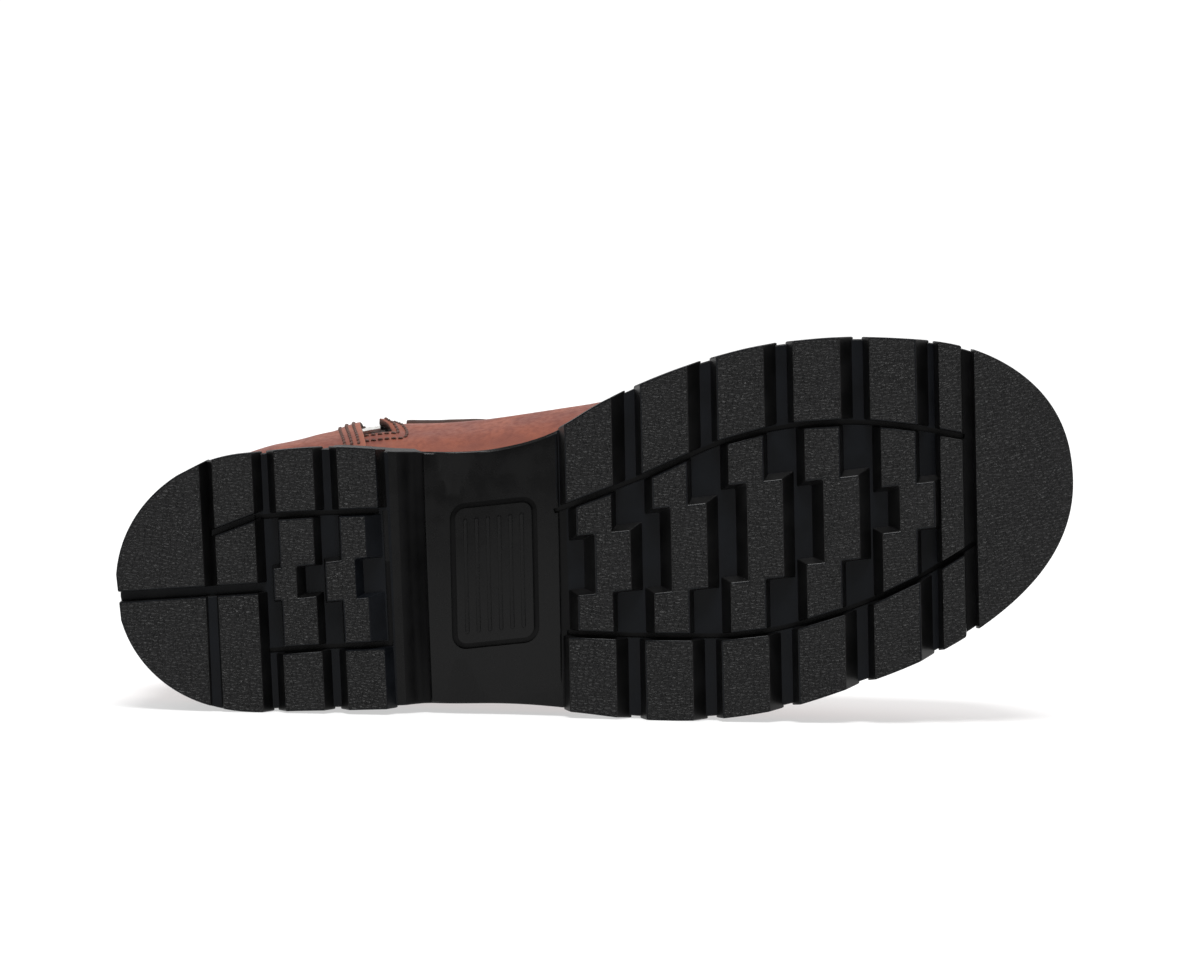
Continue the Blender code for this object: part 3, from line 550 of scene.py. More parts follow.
# Stage
FLOOR_HALF = 6.0
FLOOR_TONE = 0.43
FLOOR_GLOW = 0.55
AIM = Vector((0.00071, -0.09359, 0.07613))
DISTANCE = 1.4805
ELEVATION = 2.0
ROLL = 1.15
LENS = 140.0
SENSOR = 36.0
CLIP = (0.05, 50.0)
SKY = (
    # axis of the direction, from, to, strength there and strength beyond
    ("Y", 0.0, 0.85, 0.13, 1.1),
    ("Z", 0.45, 0.95, 0.0, 0.7),
    ("X", 0.45, 0.95, 0.0, 0.1),
)
SUN_STRENGTH = 2.8
SUN_ANGLE = 24.0
SUN_TILT = 25.0


def smooth(at, knots, values):
    """Values of the smooth curve through the knots, its slopes taken from their neighbours."""
    knots = np.array(knots, float)
    values = np.array(values, float)
    slopes = np.gradient(values, knots)
    at = np.clip(at, knots[0], knots[-1])
    i = np.clip(np.searchsorted(knots, at, side="right") - 1, 0, len(knots) - 2)
    span = knots[i + 1] - knots[i]
    s = (at - knots[i]) / span
    low = (1 + 2 * s) * (1 - s) ** 2 * values[i] + s * (1 - s) ** 2 * span * slopes[i]
    high = s * s * (3 - 2 * s) * values[i + 1] - s * s * (1 - s) * span * slopes[i + 1]
    return low + high


def from_table(rows, column, at):
    """Smooth value of a table's column where its first column is at."""
    return smooth(at, [row[0] for row in rows], [row[column] for row in rows])


def soft_step(at, start, end):
    """Rises smoothly from 0 at start to 1 at end."""
    t = np.clip((at - start) / (end - start), 0, 1)
    return t * t * (3 - 2 * t)


def hump(at, span):
    """1 between the middle two of four places, falling smoothly to 0 at the outer two."""
    return soft_step(at, span[0], span[1]) * (1 - soft_step(at, span[2], span[3]))


def rounded_end(distance, reach, power):
    """Share of the full width at a distance from a rounded end, 0 at the end and 1 past reach."""
    left = 1 - np.clip(distance / reach, 0, 1)
    return (1 - left**power) ** (1 / power)


# Meshes


def lie_matrix():
    """Turns the standing boot over onto its outer side, where it comes to rest."""
    on_side = Matrix.Rotation(math.radians(-90 + LIE_LEAN), 4, "X")
    return Matrix.Translation(LIE_PLACE) @ Matrix.Rotation(math.radians(-LIE_ROLL), 4, "Y") @ on_side


def lay_down(mesh):
    """Turns a mesh from the boot's millimetres into the frame's metres."""
    mesh.transform(lie_matrix() @ Matrix.Scale(MM, 4))
    return mesh


def raw_mesh(name, points, faces):
    mesh = bpy.data.meshes.new(name)
    mesh.from_pydata(np.array(points, float).tolist(), [], faces)
    return mesh


def clean(mesh, merge=MERGE):
    """Merges double points and turns the faces outwards."""
    bm = bmesh.new()
    bm.from_mesh(mesh)
    bmesh.ops.remove_doubles(bm, verts=bm.verts, dist=merge)
    bmesh.ops.recalc_face_normals(bm, faces=bm.faces)
    bm.to_mesh(mesh)
    bm.free()
    return mesh


def new_object(name, mesh):
    obj = bpy.data.objects.new(name, mesh)
    bpy.context.scene.collection.objects.link(obj)
    return obj


def add_piece(name, mesh, materials, replaces=None):
    """A finished piece on the boot, smooth shaded."""
    obj = new_object(name, lay_down(mesh))
    for material in materials:
        mesh.materials.append(material)
    mesh.shade_smooth()
    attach(obj, "boot")
    if replaces:
        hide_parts(replaces)
    return obj


def add_modifier(obj, kind, **settings):
    modifier = obj.modifiers.new(kind.lower(), kind)
    for name, value in settings.items():
        setattr(modifier, name, value)
    return modifier


def round_off(obj, radius, angle):
    """Rounds the edges that are sharper than an angle."""
    add_modifier(obj, "BEVEL", width=MM * radius, segments=2, angle_limit=math.radians(angle))


def evaluated(obj):
    """The object's mesh with its modifiers applied; the object itself is removed."""
    bpy.context.view_layer.update()
    solid = obj.evaluated_get(bpy.context.evaluated_depsgraph_get())
    mesh = bpy.data.meshes.new_from_object(solid)
    bpy.data.objects.remove(obj, do_unlink=True)
    return mesh


def combine(mesh, other, operation):
    """Union or difference of two closed meshes."""
    base = new_object("base", mesh)
    tool = new_object("tool", other)
    add_modifier(base, "BOOLEAN", operation=operation, object=tool, solver="EXACT", use_self=True)
    result = evaluated(base)
    bpy.data.objects.remove(tool, do_unlink=True)
    return result


def joined(blocks):
    """One list of points and one of faces from several blocks."""
    points = []
    faces = []
    for block_points, block_faces in blocks:
        start = len(points)
        points += list(block_points)
        faces += [tuple(start + i for i in face) for face in block_faces]
    return points, faces


def run_along(path):
    """Distance along a path at each of its points."""
    return np.concatenate(([0], np.cumsum(np.linalg.norm(np.diff(path, axis=0), axis=1))))


def block_of(bm):
    """Points and faces of an edited mesh, which is let go."""
    bm.verts.index_update()
    points = [tuple(corner.co) for corner in bm.verts]
    faces = [[corner.index for corner in face.verts] for face in bm.faces]
    bm.free()
    return points, faces


def loft(rings, closed=True):
    """Points and quads of a stack of rings with the same count of points."""
    count = len(rings[0])
    points = [point for ring in rings for point in ring]
    faces = []
    for k in range(len(rings) - 1):
        for i in range(count if closed else count - 1):
            j = (i + 1) % count
            faces.append((k * count + i, k * count + j, (k + 1) * count + j, (k + 1) * count + i))
    return points, faces


def strip_cap(start, count, lead):
    """Faces straight across a ring, from its first point, or with lead 1 from its closing edge."""
    faces = []
    for k in range((count - lead) // 2):
        near = start + (count - lead - k) % count
        far = start + (count - lead - k - 1) % count
        faces.append(tuple(dict.fromkeys((start + k, start + k + 1, far, near))))
    return faces


def capped(rings, lead=None):
    """A stack of rings closed at both ends, by one face each or, with a lead, by strips across."""
    points, faces = loft(rings)
    count = len(rings[0])
    for start in (0, len(points) - count):
        faces += [tuple(range(start, start + count))] if lead is None else strip_cap(start, count, lead)
    return points, faces


# Outsole


def sole_half(x):
    half = from_table(SOLE_OUTLINE, 2, x)
    half = half * rounded_end(x, HEEL_CAP, HEEL_ROUND)
    return half * rounded_end(LENGTH - x, TOE_CAP, TOE_ROUND)


def sole_edge(x, side):
    """Edge of the tread, side -1 medial and +1 lateral."""
    return from_table(SOLE_OUTLINE, 1, x) + side * sole_half(x)


def seat(x):
    return from_table(SOLE_PROFILE, 2, x)


def groove_floor(x):
    return from_table(SOLE_PROFILE, 1, x)


def tread(x):
    """Height of the lug faces: flat heel, forefoot rocker, toe spring."""
    waist = WAIST_LIFT * (np.maximum(FLAT_FROM - x, 0) / (FLAT_FROM - FORE_FIRST)) ** 2
    toe = TOE_SPRING * (np.maximum(x - FLAT_TO, 0) / (LENGTH - FLAT_TO)) ** 2
    return np.where(x < HEEL_END, 0.0, waist + toe)


def sole_stations():
    """Places along the boot, close together at both rounded ends."""
    spread = 0.5 * (1 - np.cos(np.linspace(0, math.pi, SOLE_STATIONS)))
    even = np.linspace(0, 1, SOLE_STATIONS)
    return LENGTH * (END_CROWDING * spread + (1 - END_CROWDING) * even)


def inset(outline, amount):
    """Outline moved inwards along its own normals."""
    ring = np.array(outline, float)
    along = np.roll(ring, -1, axis=0) - np.roll(ring, 1, axis=0)
    inward = np.stack([-along[:, 1], along[:, 0]], axis=1)
    inward /= np.linalg.norm(inward, axis=1)[:, None]
    if np.sum((ring.mean(axis=0) - ring) * inward) < 0:
        inward = -inward
    return ring + amount * inward


def slanted(x, y):
    """Place along the boot of the line across it through a point, slanted at the waist."""
    return x + WAIST_SLANT * hump(x, SLANT_SPAN) * y


def sole_outline():
    """Tread outline from heel to toe along the medial side and back along the lateral one."""
    sides = []
    for side in (-1, 1):
        places = sole_stations()
        x = places - WAIST_SLANT * hump(places, SLANT_SPAN) * sole_edge(places, side)
        sides.append(np.stack((x, sole_edge(x, side)), axis=1))
    medial, lateral = sides
    return np.concatenate((medial, lateral[-2:0:-1]))


def sole_base():
    """The moulding without its lugs: floor of the grooves, side wall with a welt line, seat."""
    outline = sole_outline()
    rings = []
    for above, step in FOOT_PROFILE:
        ring = inset(outline, step)
        rings.append([(x, y, groove_floor(slanted(x, y)) + above) for x, y in ring])
    for below, step in SIDE_PROFILE:
        ring = inset(outline, step)
        ring[:SOLE_STATIONS, 1] -= FLARE * hump(ring[:SOLE_STATIONS, 0], FLARE_SPAN)
        rings.append([(x, y, seat(x) - below) for x, y in ring])
    return clean(raw_mesh("outsole", *capped(rings, 0)))


def cross(a, b):
    return a[0] * b[1] - a[1] * b[0]


def offset_edges(polygon, amounts):
    """Polygon with each edge moved outwards by its own amount, corners kept sharp."""
    ring = [np.array(point, float) for point in polygon]
    ahead = ring[1:] + ring[:1]
    area = sum(cross(point, following) for point, following in zip(ring, ahead))
    turn = 1 if area > 0 else -1
    along = [(b - a) / np.linalg.norm(b - a) for a, b in zip(ring, ahead)]
    moves = [amount * turn * np.array((d[1], -d[0])) for amount, d in zip(amounts, along)]
    moved = []
    for i, corner in enumerate(ring):
        bend = cross(along[i - 1], along[i])
        if abs(bend) < STRAIGHT_SINE:
            moved.append(corner + 0.5 * (moves[i - 1] + moves[i]))
            continue
        share = cross(along[i - 1], moves[i - 1] - moves[i]) / bend
        moved.append(corner + moves[i] + share * along[i])
    return moved


def softened(rings, lead=None):
    """A block whose first ring, its tread face, and upright corners are rounded off."""
    points, faces = capped(rings, lead)
    bm = bmesh.new()
    corners = [bm.verts.new(np.array(point, float)) for point in points]
    for face in faces:
        bm.faces.new([corners[i] for i in face])
    bmesh.ops.recalc_face_normals(bm, faces=bm.faces)
    bottom = set(corners[: len(rings[0])])
    edges = []
    for edge in bm.edges:
        below = sum(corner in bottom for corner in edge.verts)
        flat = sum(all(corner in bottom for corner in face.verts) for face in edge.link_faces)
        upright = below == 1 and edge.calc_face_angle() > math.radians(CORNER_ANGLE)
        if upright or (below == 2 and flat == 1):
            edges.append(edge)
    bmesh.ops.bevel(
        bm, geom=edges, offset=LUG_ROUND, offset_type="OFFSET", segments=LUG_ROUND_STEPS, profile=0.5,
        affect="EDGES", clamp_overlap=True,
    )
    return block_of(bm)


def lug(polygon, drafts, outer, lead=None, depth=0.0):
    """Drafted block from its tread face up into the sole; its outer edges run up the side wall."""
    root = offset_edges(polygon, [0.0 if i in outer else draft for i, draft in enumerate(drafts)])
    rings = [[(x, y, tread(x) + depth) for x, y in polygon]]
    rings.append([(x, y, groove_floor(x) + LUG_SINK) for x, y in root])
    if outer:
        top = offset_edges(root, [-LUG_RUN_IN if i in outer else 0.0 for i in range(len(polygon))])
        rings.append([(x, y, groove_floor(x) + LUG_RUN_UP) for x, y in top])
    return softened(rings, lead)


def groove_line(table, column, aside=0.0):
    """Groove along the boot from a table, moved aside."""
    return lambda x: from_table(table, column, x) + aside


def level(y):
    """Line along the boot at one distance from its axis."""
    return lambda x: y


def rail_lines(table):
    """Rail grooves by side, and the two lines that bound the blocks between them."""
    rails = {-1: groove_line(table, 1), 1: groove_line(table, 2)}
    return rails, (groove_line(table, 1, RAIL_HALF), groove_line(table, 2, -RAIL_HALF))


def crossing(station, skew, line):
    """Point where a slanted cut across the tread meets a line along the boot."""
    x = station
    for _ in range(CROSSING_STEPS):
        x = station - skew * line(x)
    return x, line(x)


def edge_lug(side, row, skew, rail, drafts, depth=0.0, half=RAIL_HALF):
    """Block between a rail groove and the edge of the sole."""
    start, end = row
    front_draft, rear_draft = drafts
    polygon = [crossing(station, skew, lambda x: rail(x) + side * half) for station in row]
    for station in np.linspace(end, start, EDGE_STEPS + 1):
        polygon.append(crossing(station, skew, lambda x: sole_edge(x, side)))
    sides = [RAIL_DRAFT, front_draft] + [0.0] * EDGE_STEPS + [rear_draft]
    return lug(polygon, sides, set(range(2, 2 + EDGE_STEPS)), depth=depth)


def bar_lug(row, skew, low, high, drafts):
    """Block across the middle of the tread between two grooves."""
    start, end = row
    front_draft, rear_draft = drafts
    corners = ((start, low), (end, low), (end, high), (start, high))
    polygon = [crossing(station, skew, line) for station, line in corners]
    return lug(polygon, [RAIL_DRAFT, front_draft, RAIL_DRAFT, rear_draft], set())


def chevron_lug(ends, middle, breaks, rails, skew, drafts):
    """Three blocks side by side, the middle one shifted along the boot."""
    rear, front = ends
    middle_rear, middle_front = middle
    low, high = rails
    near, far = (level(y) for y in breaks)
    corners = (
        (rear, low),
        (front, low),
        (front, near),
        (middle_front, near),
        (middle_front, far),
        (front, far),
        (front, high),
        (rear, high),
        (rear, far),
        (middle_rear, far),
        (middle_rear, near),
        (rear, near),
    )
    polygon = [crossing(station, skew, line) for station, line in corners]
    return lug(polygon, drafts, set())


def forefoot_lugs():
    rails, between = rail_lines(FORE_RAILS)
    starts = [FORE_FIRST + k * FORE_PITCH for k in range(FORE_ROWS)]
    rows = [((start, start + FORE_LUG), FORE_DRAFTS) for start in starts] + [(LAST_ROW, LAST_DRAFTS)]
    lugs = []
    for row, drafts in rows:
        lugs += [edge_lug(side, row, FORE_SKEW, rail, drafts) for side, rail in rails.items()]
    for start, breaks in zip(starts, CHEVRON_MIDDLES):
        rear = start + CHEVRON_REAR
        ends = (rear, rear + CHEVRON_LENGTH)
        middle = [station + CHEVRON_SHIFT for station in ends]
        lugs.append(chevron_lug(ends, middle, breaks, between, FORE_SKEW, CHEVRON_DRAFTS))
    lugs.append(bar_lug(LAST_ROW, FORE_SKEW, *between, LAST_DRAFTS))
    return lugs


def heel_lugs():
    rails, between = rail_lines(HEEL_RAILS)
    split = groove_line(HEEL_SPLIT, 1)
    diagonal = groove_line(HEEL_DIAGONAL, 1)
    below_diagonal = groove_line(HEEL_DIAGONAL, 1, RAIL_HALF)
    above_split = groove_line(HEEL_SPLIT, 1, -SPLIT_HALF)
    first, *others = HEEL_ROWS
    lugs = [heel_plate(side, split) for side in (-1, 1)]
    lugs.append(edge_lug(1, first, HEEL_SKEW, split, HEEL_DRAFTS, half=SPLIT_HALF))
    lugs.append(edge_lug(-1, first, HEEL_SKEW, diagonal, HEEL_DRAFTS))
    lugs.append(bar_lug(first, HEEL_SKEW, below_diagonal, above_split, HEEL_DRAFTS))
    for row in others:
        lugs += [edge_lug(side, row, HEEL_SKEW, rail, HEEL_DRAFTS) for side, rail in rails.items()]
    for (ends, middle, breaks), drafts in zip(HEEL_CHEVRONS, HEEL_CHEVRON_DRAFTS):
        lugs.append(chevron_lug(ends, middle, breaks, between, HEEL_SKEW, drafts))
    return lugs


def heel_filling():
    """Floor of the shallow groove behind the first row's outer half."""
    split = groove_line(HEEL_SPLIT, 1)
    return edge_lug(1, SHALLOW_GROOVE, HEEL_SKEW, split, (0.0, 0.0), SHALLOW_DEPTH, SPLIT_HALF)


def heel_plate(side, split):
    """Half of the plate at the back of the heel, from the outline to the split."""
    stations = [x for x in sole_stations() if x < HEEL_BACK_PLATE - PLATE_LAST_STEP]
    stations.append(HEEL_BACK_PLATE - HEEL_SKEW * sole_edge(HEEL_BACK_PLATE, side))
    outer = [(x, sole_edge(x, side)) for x in stations]
    outer = [(x, y) for x, y in outer if side * (y - split(x)) > SPLIT_HALF]
    polygon = list(outer)
    for x in (HEEL_BACK_PLATE, outer[0][0]):
        polygon.append((x, split(x) + side * SPLIT_HALF))
    edges = len(outer) - 1
    drafts = [0.0] * edges + [HEEL_DRAFTS[0], RAIL_DRAFT, 0.0]
    return lug(polygon, drafts, set(range(edges)) | {len(polygon) - 1})


def toe_plate():
    """Plate under the toe, from the last groove to the tip."""
    sides = []
    for side in (-1, 1):
        first, _ = crossing(TOE_PLATE_FROM, FORE_SKEW, lambda x: sole_edge(x, side))
        turns = np.linspace(0, math.pi / 2, TOE_PLATE_STATIONS)
        places = first + (LENGTH - first) * np.sin(turns)
        sides.append([(x, sole_edge(x, side)) for x in places])
    medial, lateral = sides
    polygon = medial + lateral[-2::-1]
    edges = len(polygon) - 1
    return lug(polygon, [0.0] * edges + [TOE_DRAFT], set(range(edges)), lead=1)


def slanted_oblong(centre, size, corner, grow=0.0):
    """Rounded rectangle on the waist, its sides slanted as the lugs are."""
    half_x, half_y = (length / 2 - corner for length in size)
    polygon = []
    for quarter, (side_x, side_y) in enumerate(((1, 1), (-1, 1), (-1, -1), (1, -1))):
        for step in range(PANEL_CORNER_STEPS + 1):
            angle = math.pi / 2 * (quarter + step / PANEL_CORNER_STEPS)
            across = side_y * half_y + (corner + grow) * math.sin(angle)
            along = side_x * half_x + (corner + grow) * math.cos(angle)
            polygon.append((centre[0] + along - FORE_SKEW * across, centre[1] + across))
    return polygon


def plate_face(x, y):
    """Height of the waist plate's face, crowned across the boot."""
    across = (y - from_table(SOLE_OUTLINE, 1, x)) / from_table(SOLE_OUTLINE, 2, x)
    return from_table(PLATE_PROFILE, 1, x) + PLATE_CROWN * across**2


def with_rim(length, steps):
    """Places along a length, crowded at both ends where it is rounded off."""
    rim = np.array([distance for distance, _ in PLATE_RIM])
    inner = np.linspace(rim[-1], length - rim[-1], steps)[1:-1]
    return np.concatenate((rim, inner, length - rim[::-1]))


def rim_fall(places, length):
    """How far the plate's face falls back at places along a length."""
    distances, falls = np.array(PLATE_RIM).T
    return np.interp(np.minimum(places, length - places), distances, falls)


def waist_plate():
    """Satin plate over the waist from edge to edge, rounded off at its rim."""
    length = PLATE_SPAN[1] - PLATE_SPAN[0]
    along = with_rim(length, PLATE_STEPS)
    edges = []
    for side in (-1, 1):
        rear, front = (
            station - skew * sole_edge(station, side) for station, skew in zip(PLATE_SPAN, PLATE_SKEW)
        )
        x = rear + (front - rear) * along / length
        edges.append(np.stack((x, sole_edge(x, side) - side * PLATE_INSET), axis=1))
    medial, lateral = edges
    width = np.linalg.norm(lateral[0] - medial[0])
    across = with_rim(width, PLATE_COLUMNS)
    fall = np.maximum(rim_fall(along, length)[:, None], rim_fall(across, width)[None, :])
    share = (across / width)[None, :, None]
    x, y = np.moveaxis(medial[:, None] * (1 - share) + lateral[:, None] * share, -1, 0)
    face = np.stack((x, y, plate_face(x, y) + fall), axis=-1)
    root = np.stack((x, y, groove_floor(slanted(x, y)) + PLATE_SINK), axis=-1)[:, ::-1]
    return capped(list(np.concatenate((face, root), axis=1)))


def on_plate(*rings):
    """Rings at their rises over the waist plate's face."""
    return [[(x, y, plate_face(x, y) + rise) for x, y in polygon] for polygon, rise in rings]


def waist_ribs():
    """Low plain ribs across the waist plate's panel, their edges rounded."""
    ribs = []
    length, width = (size - 2 * RIB_MARGIN for size in PANEL_SIZE)
    for along in np.linspace(-length / 2, length / 2, RIB_COUNT):
        centre = (PANEL_CENTRE[0] + along, PANEL_CENTRE[1])
        rib = slanted_oblong(centre, (RIB_WIDTH, width), RIB_CORNER)
        ribs.append(softened(on_plate((rib, -RIB_RISE), (rib, RIB_SINK))))
    return ribs


def panel_moat():
    """Narrow groove round the panel, to be cut out of the waist plate."""
    inner = slanted_oblong(PANEL_CENTRE, PANEL_SIZE, PANEL_CORNER)
    outer = slanted_oblong(PANEL_CENTRE, PANEL_SIZE, PANEL_CORNER, MOAT_WIDTH)
    first = (outer, -MOAT_CLEAR)
    return loft(on_plate(first, (outer, MOAT_DEPTH), (inner, MOAT_DEPTH), (inner, -MOAT_CLEAR), first))


def floor_cut(path):
    """Narrow slot along a path in the groove floor."""
    path = np.array(path)
    along = np.gradient(path, axis=0)
    aside = np.stack((-along[:, 1], along[:, 0]), axis=1)
    aside *= CUT_HALF / np.linalg.norm(aside, axis=1, keepdims=True)
    corners = ((-1, -CUT_RISE), (1, -CUT_RISE), (1, CUT_DEPTH), (-1, CUT_DEPTH))
    rings = []
    for (x, y), (move_x, move_y) in zip(path, aside):
        floor = groove_floor(x)
        rings.append([(x + side * move_x, y + side * move_y, floor + rise) for side, rise in corners])
    return capped(rings)


def floor_cuts():
    """The dark lines that run on through the grooves: the rails, and the front of the heel's tread."""
    cuts = [panel_moat()]
    for table, (start, end) in ((FORE_RAILS, FORE_CUT), (HEEL_RAILS, HEEL_CUT)):
        for column in (1, 2):
            places = np.linspace(start, end, CUT_STEPS)
            cuts.append(floor_cut([(x, from_table(table, column, x)) for x in places]))
    ends = [from_table(HEEL_RAILS, column, HEEL_CUT[1]) for column in (1, 2)]
    across = np.linspace(*ends, CUT_STEPS)
    cuts.append(floor_cut([(HEEL_CUT[1] + CUT_HALF - HEEL_SKEW * y, y) for y in across]))
    return clean(raw_mesh("cuts", *joined(cuts)))


def mark_zones(mesh):
    """Sorts the outsole's faces into grained tread, smooth grooves, satin waist and side wall, with darker
    rubber as painted shade in the deep grooves, moat, cove and last groove.
    """
    count = len(mesh.polygons)
    centres = np.empty(3 * count)
    normals = np.empty(3 * count)
    mesh.polygons.foreach_get("center", centres)
    mesh.polygons.foreach_get("normal", normals)
    x, y, z = centres.reshape(-1, 3).T
    facing = normals.reshape(-1, 3)[:, 2]
    to_edge = np.min((y - sole_edge(x, -1), sole_edge(x, 1) - y, x, LENGTH - x), axis=0)
    zones = np.where(facing < FLOOR_FACING, FLOOR_ZONE, WALL_ZONE)
    zones[(facing > FACING_GROUND) & (to_edge < SIDE_REACH)] = SIDE_ZONE
    waist = (x > WAIST_SPAN[0]) & (x < WAIST_SPAN[1]) & (facing < FACING_GROUND)
    zones[waist] = WAIST_ZONE
    # The cove, the moat round the panel, the deep cuts and the last groove get darker rubber: painted shade.
    place = slanted(x, y)
    in_moat = z - plate_face(x, y) > MOAT_FLOOR
    zones[waist & (place > COVE_FROM) & ((place < PLATE_SPAN[0]) | in_moat)] = SHADED_COVE_ZONE
    lane = x + FORE_SKEW * y
    in_last_groove = (lane > LAST_ROW[1] - GROOVE_REACH) & (lane < TOE_PLATE_FROM + GROOVE_REACH)
    deep = (z - groove_floor(place) > DEEP_FLOOR) & ~waist
    zones[(zones == FLOOR_ZONE) & (deep | in_last_groove)] = SHADED_COVE_ZONE
    zones[(zones == WALL_ZONE) & (x > HEEL_RAMPS[0]) & (x < HEEL_RAMPS[1])] = FLOOR_ZONE
    on_lugs = (z - tread(x) < TREAD_DEPTH) & (facing < TREAD_FACING)
    zones[on_lugs & ((x < HEEL_END) | (x > WAIST_SPAN[1]))] = TREAD_ZONE
    mesh.polygons.foreach_set("material_index", zones.astype(np.int32))


def make_outsole():
    mesh = sole_base()
    main_blocks = [waist_plate(), toe_plate(), *forefoot_lugs(), *heel_lugs()]
    for blocks in (main_blocks, [heel_filling(), *waist_ribs()]):
        mesh = combine(mesh, clean(raw_mesh("lugs", *joined(blocks))), "UNION")
    mesh = clean(combine(mesh, floor_cuts(), "DIFFERENCE"), MERGE_SLIVERS)
    mesh.materials.clear()
    mark_zones(mesh)
    finishes = [rubber(name, *values) for name, values in RUBBERS.items()]
    obj = add_piece("outsole_moulding", mesh, finishes, "outsole")
    mesh.set_sharp_from_angle(angle=math.radians(SOLE_SHARP))
    add_modifier(obj, "WEIGHTED_NORMAL", keep_sharp=True)


# Upper


def ring_value(column, row):
    return smooth(row, range(len(UPPER_RINGS)), [ring[column] for ring in UPPER_RINGS])


def toe_swing(x):
    """The toe's lean to the medial side, as on the sole."""
    return np.minimum(from_table(SOLE_OUTLINE, 1, np.maximum(x, SWING_FROM)), 0.0)


def share_at(row, x):
    """Place of x between the back and the front of a ring, as the angle's share of a half turn."""
    back, front = ring_value(0, row), ring_value(2, row)
    return np.arccos(1 - 2 * np.clip((x - back) / (front - back), 0, 1)) / math.pi


def upper_point(row, s):
    """Outer face of the wall. row counts rings from the sole to the collar. s is 0 at the
    back seam, grows along the lateral side to 1 at the front, and falls along the medial one."""
    s = (s + 1) % 2 - 1
    side = np.where(s >= 0, 1.0, -1.0)
    ahead = 0.5 * (1 - np.cos(math.pi * np.abs(s)))
    back_x, back_h, front_x, front_h, *widths, back_cap, front_cap = (
        ring_value(column, row) for column in range(len(UPPER_RINGS[0]))
    )
    x = back_x + (front_x - back_x) * ahead
    height = back_h + (front_h - back_h) * ahead
    half = sum(width * smooth(ahead, WIDTH_AT, share) for width, share in zip(widths, WIDTH_SHARES))
    half = half * rounded_end(ahead, back_cap, RING_ROUND) * rounded_end(1 - ahead, front_cap, RING_ROUND)
    arch = ARCH_SHIFT * np.maximum(1 - row / ARCH_RINGS, 0) * np.exp(-(((x - ARCH_X) / ARCH_REACH) ** 2))
    shaft = SHAFT_SHIFT * np.minimum(row / TOP_ROW, 1)
    off_centre = ((x - ANKLE_X) / ANKLE_REACH) ** 2 + ((row - ANKLE_ROW) / ANKLE_ROWS) ** 2
    ankle = ANKLE_BULGE * np.exp(-off_centre) * np.minimum(side, 0)
    y = side * half + arch + shaft + ankle + toe_swing(x)
    return np.stack((x, y, seat(x) + GAP + height), axis=-1)


def upper_normal(row, s):
    """Outward direction of the wall."""
    top = np.minimum(row + NORMAL_ROW_STEP, TOP_ROW)
    bottom = np.maximum(row - NORMAL_ROW_STEP, 0)
    up = upper_point(top, s) - upper_point(bottom, s)
    around = upper_point(row, s + NORMAL_S_STEP) - upper_point(row, s - NORMAL_S_STEP)
    normal = np.cross(up, around)
    return normal / np.linalg.norm(normal, axis=-1, keepdims=True)


def wall_point(row, s, offset):
    return upper_point(row, s) + np.expand_dims(offset, -1) * upper_normal(row, s)


def zip_place(row):
    """Middle of the zip on the medial wall."""
    share = (row - SLOT_ROW) / (TOP_ROW - SLOT_ROW)
    return ZIP_X_BOTTOM + (ZIP_X_TOP - ZIP_X_BOTTOM) * share


def slot_front(row):
    """Distance of the slot's front edge from the zip's middle: flared below, tucked in above."""
    flare = SLOT_FLARE * (1 - soft_step(row, *SLOT_FLARE_ROWS))
    return SLOT_WIDTH / 2 + flare - SLOT_TUCK * hump(row, SLOT_TUCK_ROWS)


def wall_columns(row):
    """Ring positions once round the wall: from the zip's front edge over the toe, the outer side
    and the back to its rear edge, then across the slot."""
    x = zip_place(row)
    front_edge = share_at(row, x + slot_front(row))
    rear_edge = share_at(row, x - SLOT_WIDTH / 2)
    even = np.linspace(0, 1, FRONT_COLUMNS)
    crowded = even * (1 - COLUMN_CROWDING + COLUMN_CROWDING * even)
    forward = -(front_edge + (1 - front_edge) * crowded)
    backward = np.linspace(1, rear_edge, FRONT_COLUMNS)[1:]
    round_back = np.linspace(rear_edge, -rear_edge, 2 * BACK_COLUMNS + 1)[1:]
    across = -np.linspace(rear_edge, front_edge, SLOT_COLUMNS + 1)[1:-1]
    return np.concatenate((forward, backward, round_back, across))


def relief(row, s):
    """How far the worn-in leather stands out from the plain wall: creases, unevenness and the
    lifted front edge of the zip's slot."""
    x = upper_point(row, s)[..., 0]
    rise = np.zeros_like(x)
    for middle, middle_row, lean, rows, width, depth in CREASES:
        off = np.abs(x - middle - lean * (row - middle_row)) / width
        strength = depth * np.exp(-(((row - middle_row) / rows) ** 2))
        rise += strength * (RIDGE_SHARE * np.exp(-((off - RIDGE_AT) ** 2)) - np.exp(-(off**2)))
    first, second, third = (np.sin(x / length + turn * row) for length, turn in UNEVEN_WAVES)
    rise += UNEVEN * (first * second + third) * np.where(x > UNEVEN_FROM, 1, UNEVEN_BACK)
    rise = rise * (1 - soft_step(row, *CREASE_END_ROWS)) * soft_step(row, *CREASE_START_ROWS)
    from_zip = x - zip_place(row)
    ahead = from_zip - slot_front(row)
    lift = PLACKET_LIFT * (1 - soft_step(ahead, 0, PLACKET_REACH)) * hump(row, PLACKET_ROWS)
    lift = np.where(ahead > PLACKET_FROM, lift, 0)
    beside = soft_step(from_zip, -SLOT_WIDTH, -SLOT_WIDTH / 2) * (1 - soft_step(ahead, 0, FOLD_REACH))
    lift += FOLD_LIFT * beside * hump(row, FOLD_ROWS)
    lift += from_table(MEDIAL_FULLNESS, 1, x) * hump(row, FULLNESS_ROWS)
    return rise + np.where(s < 0, lift, 0)


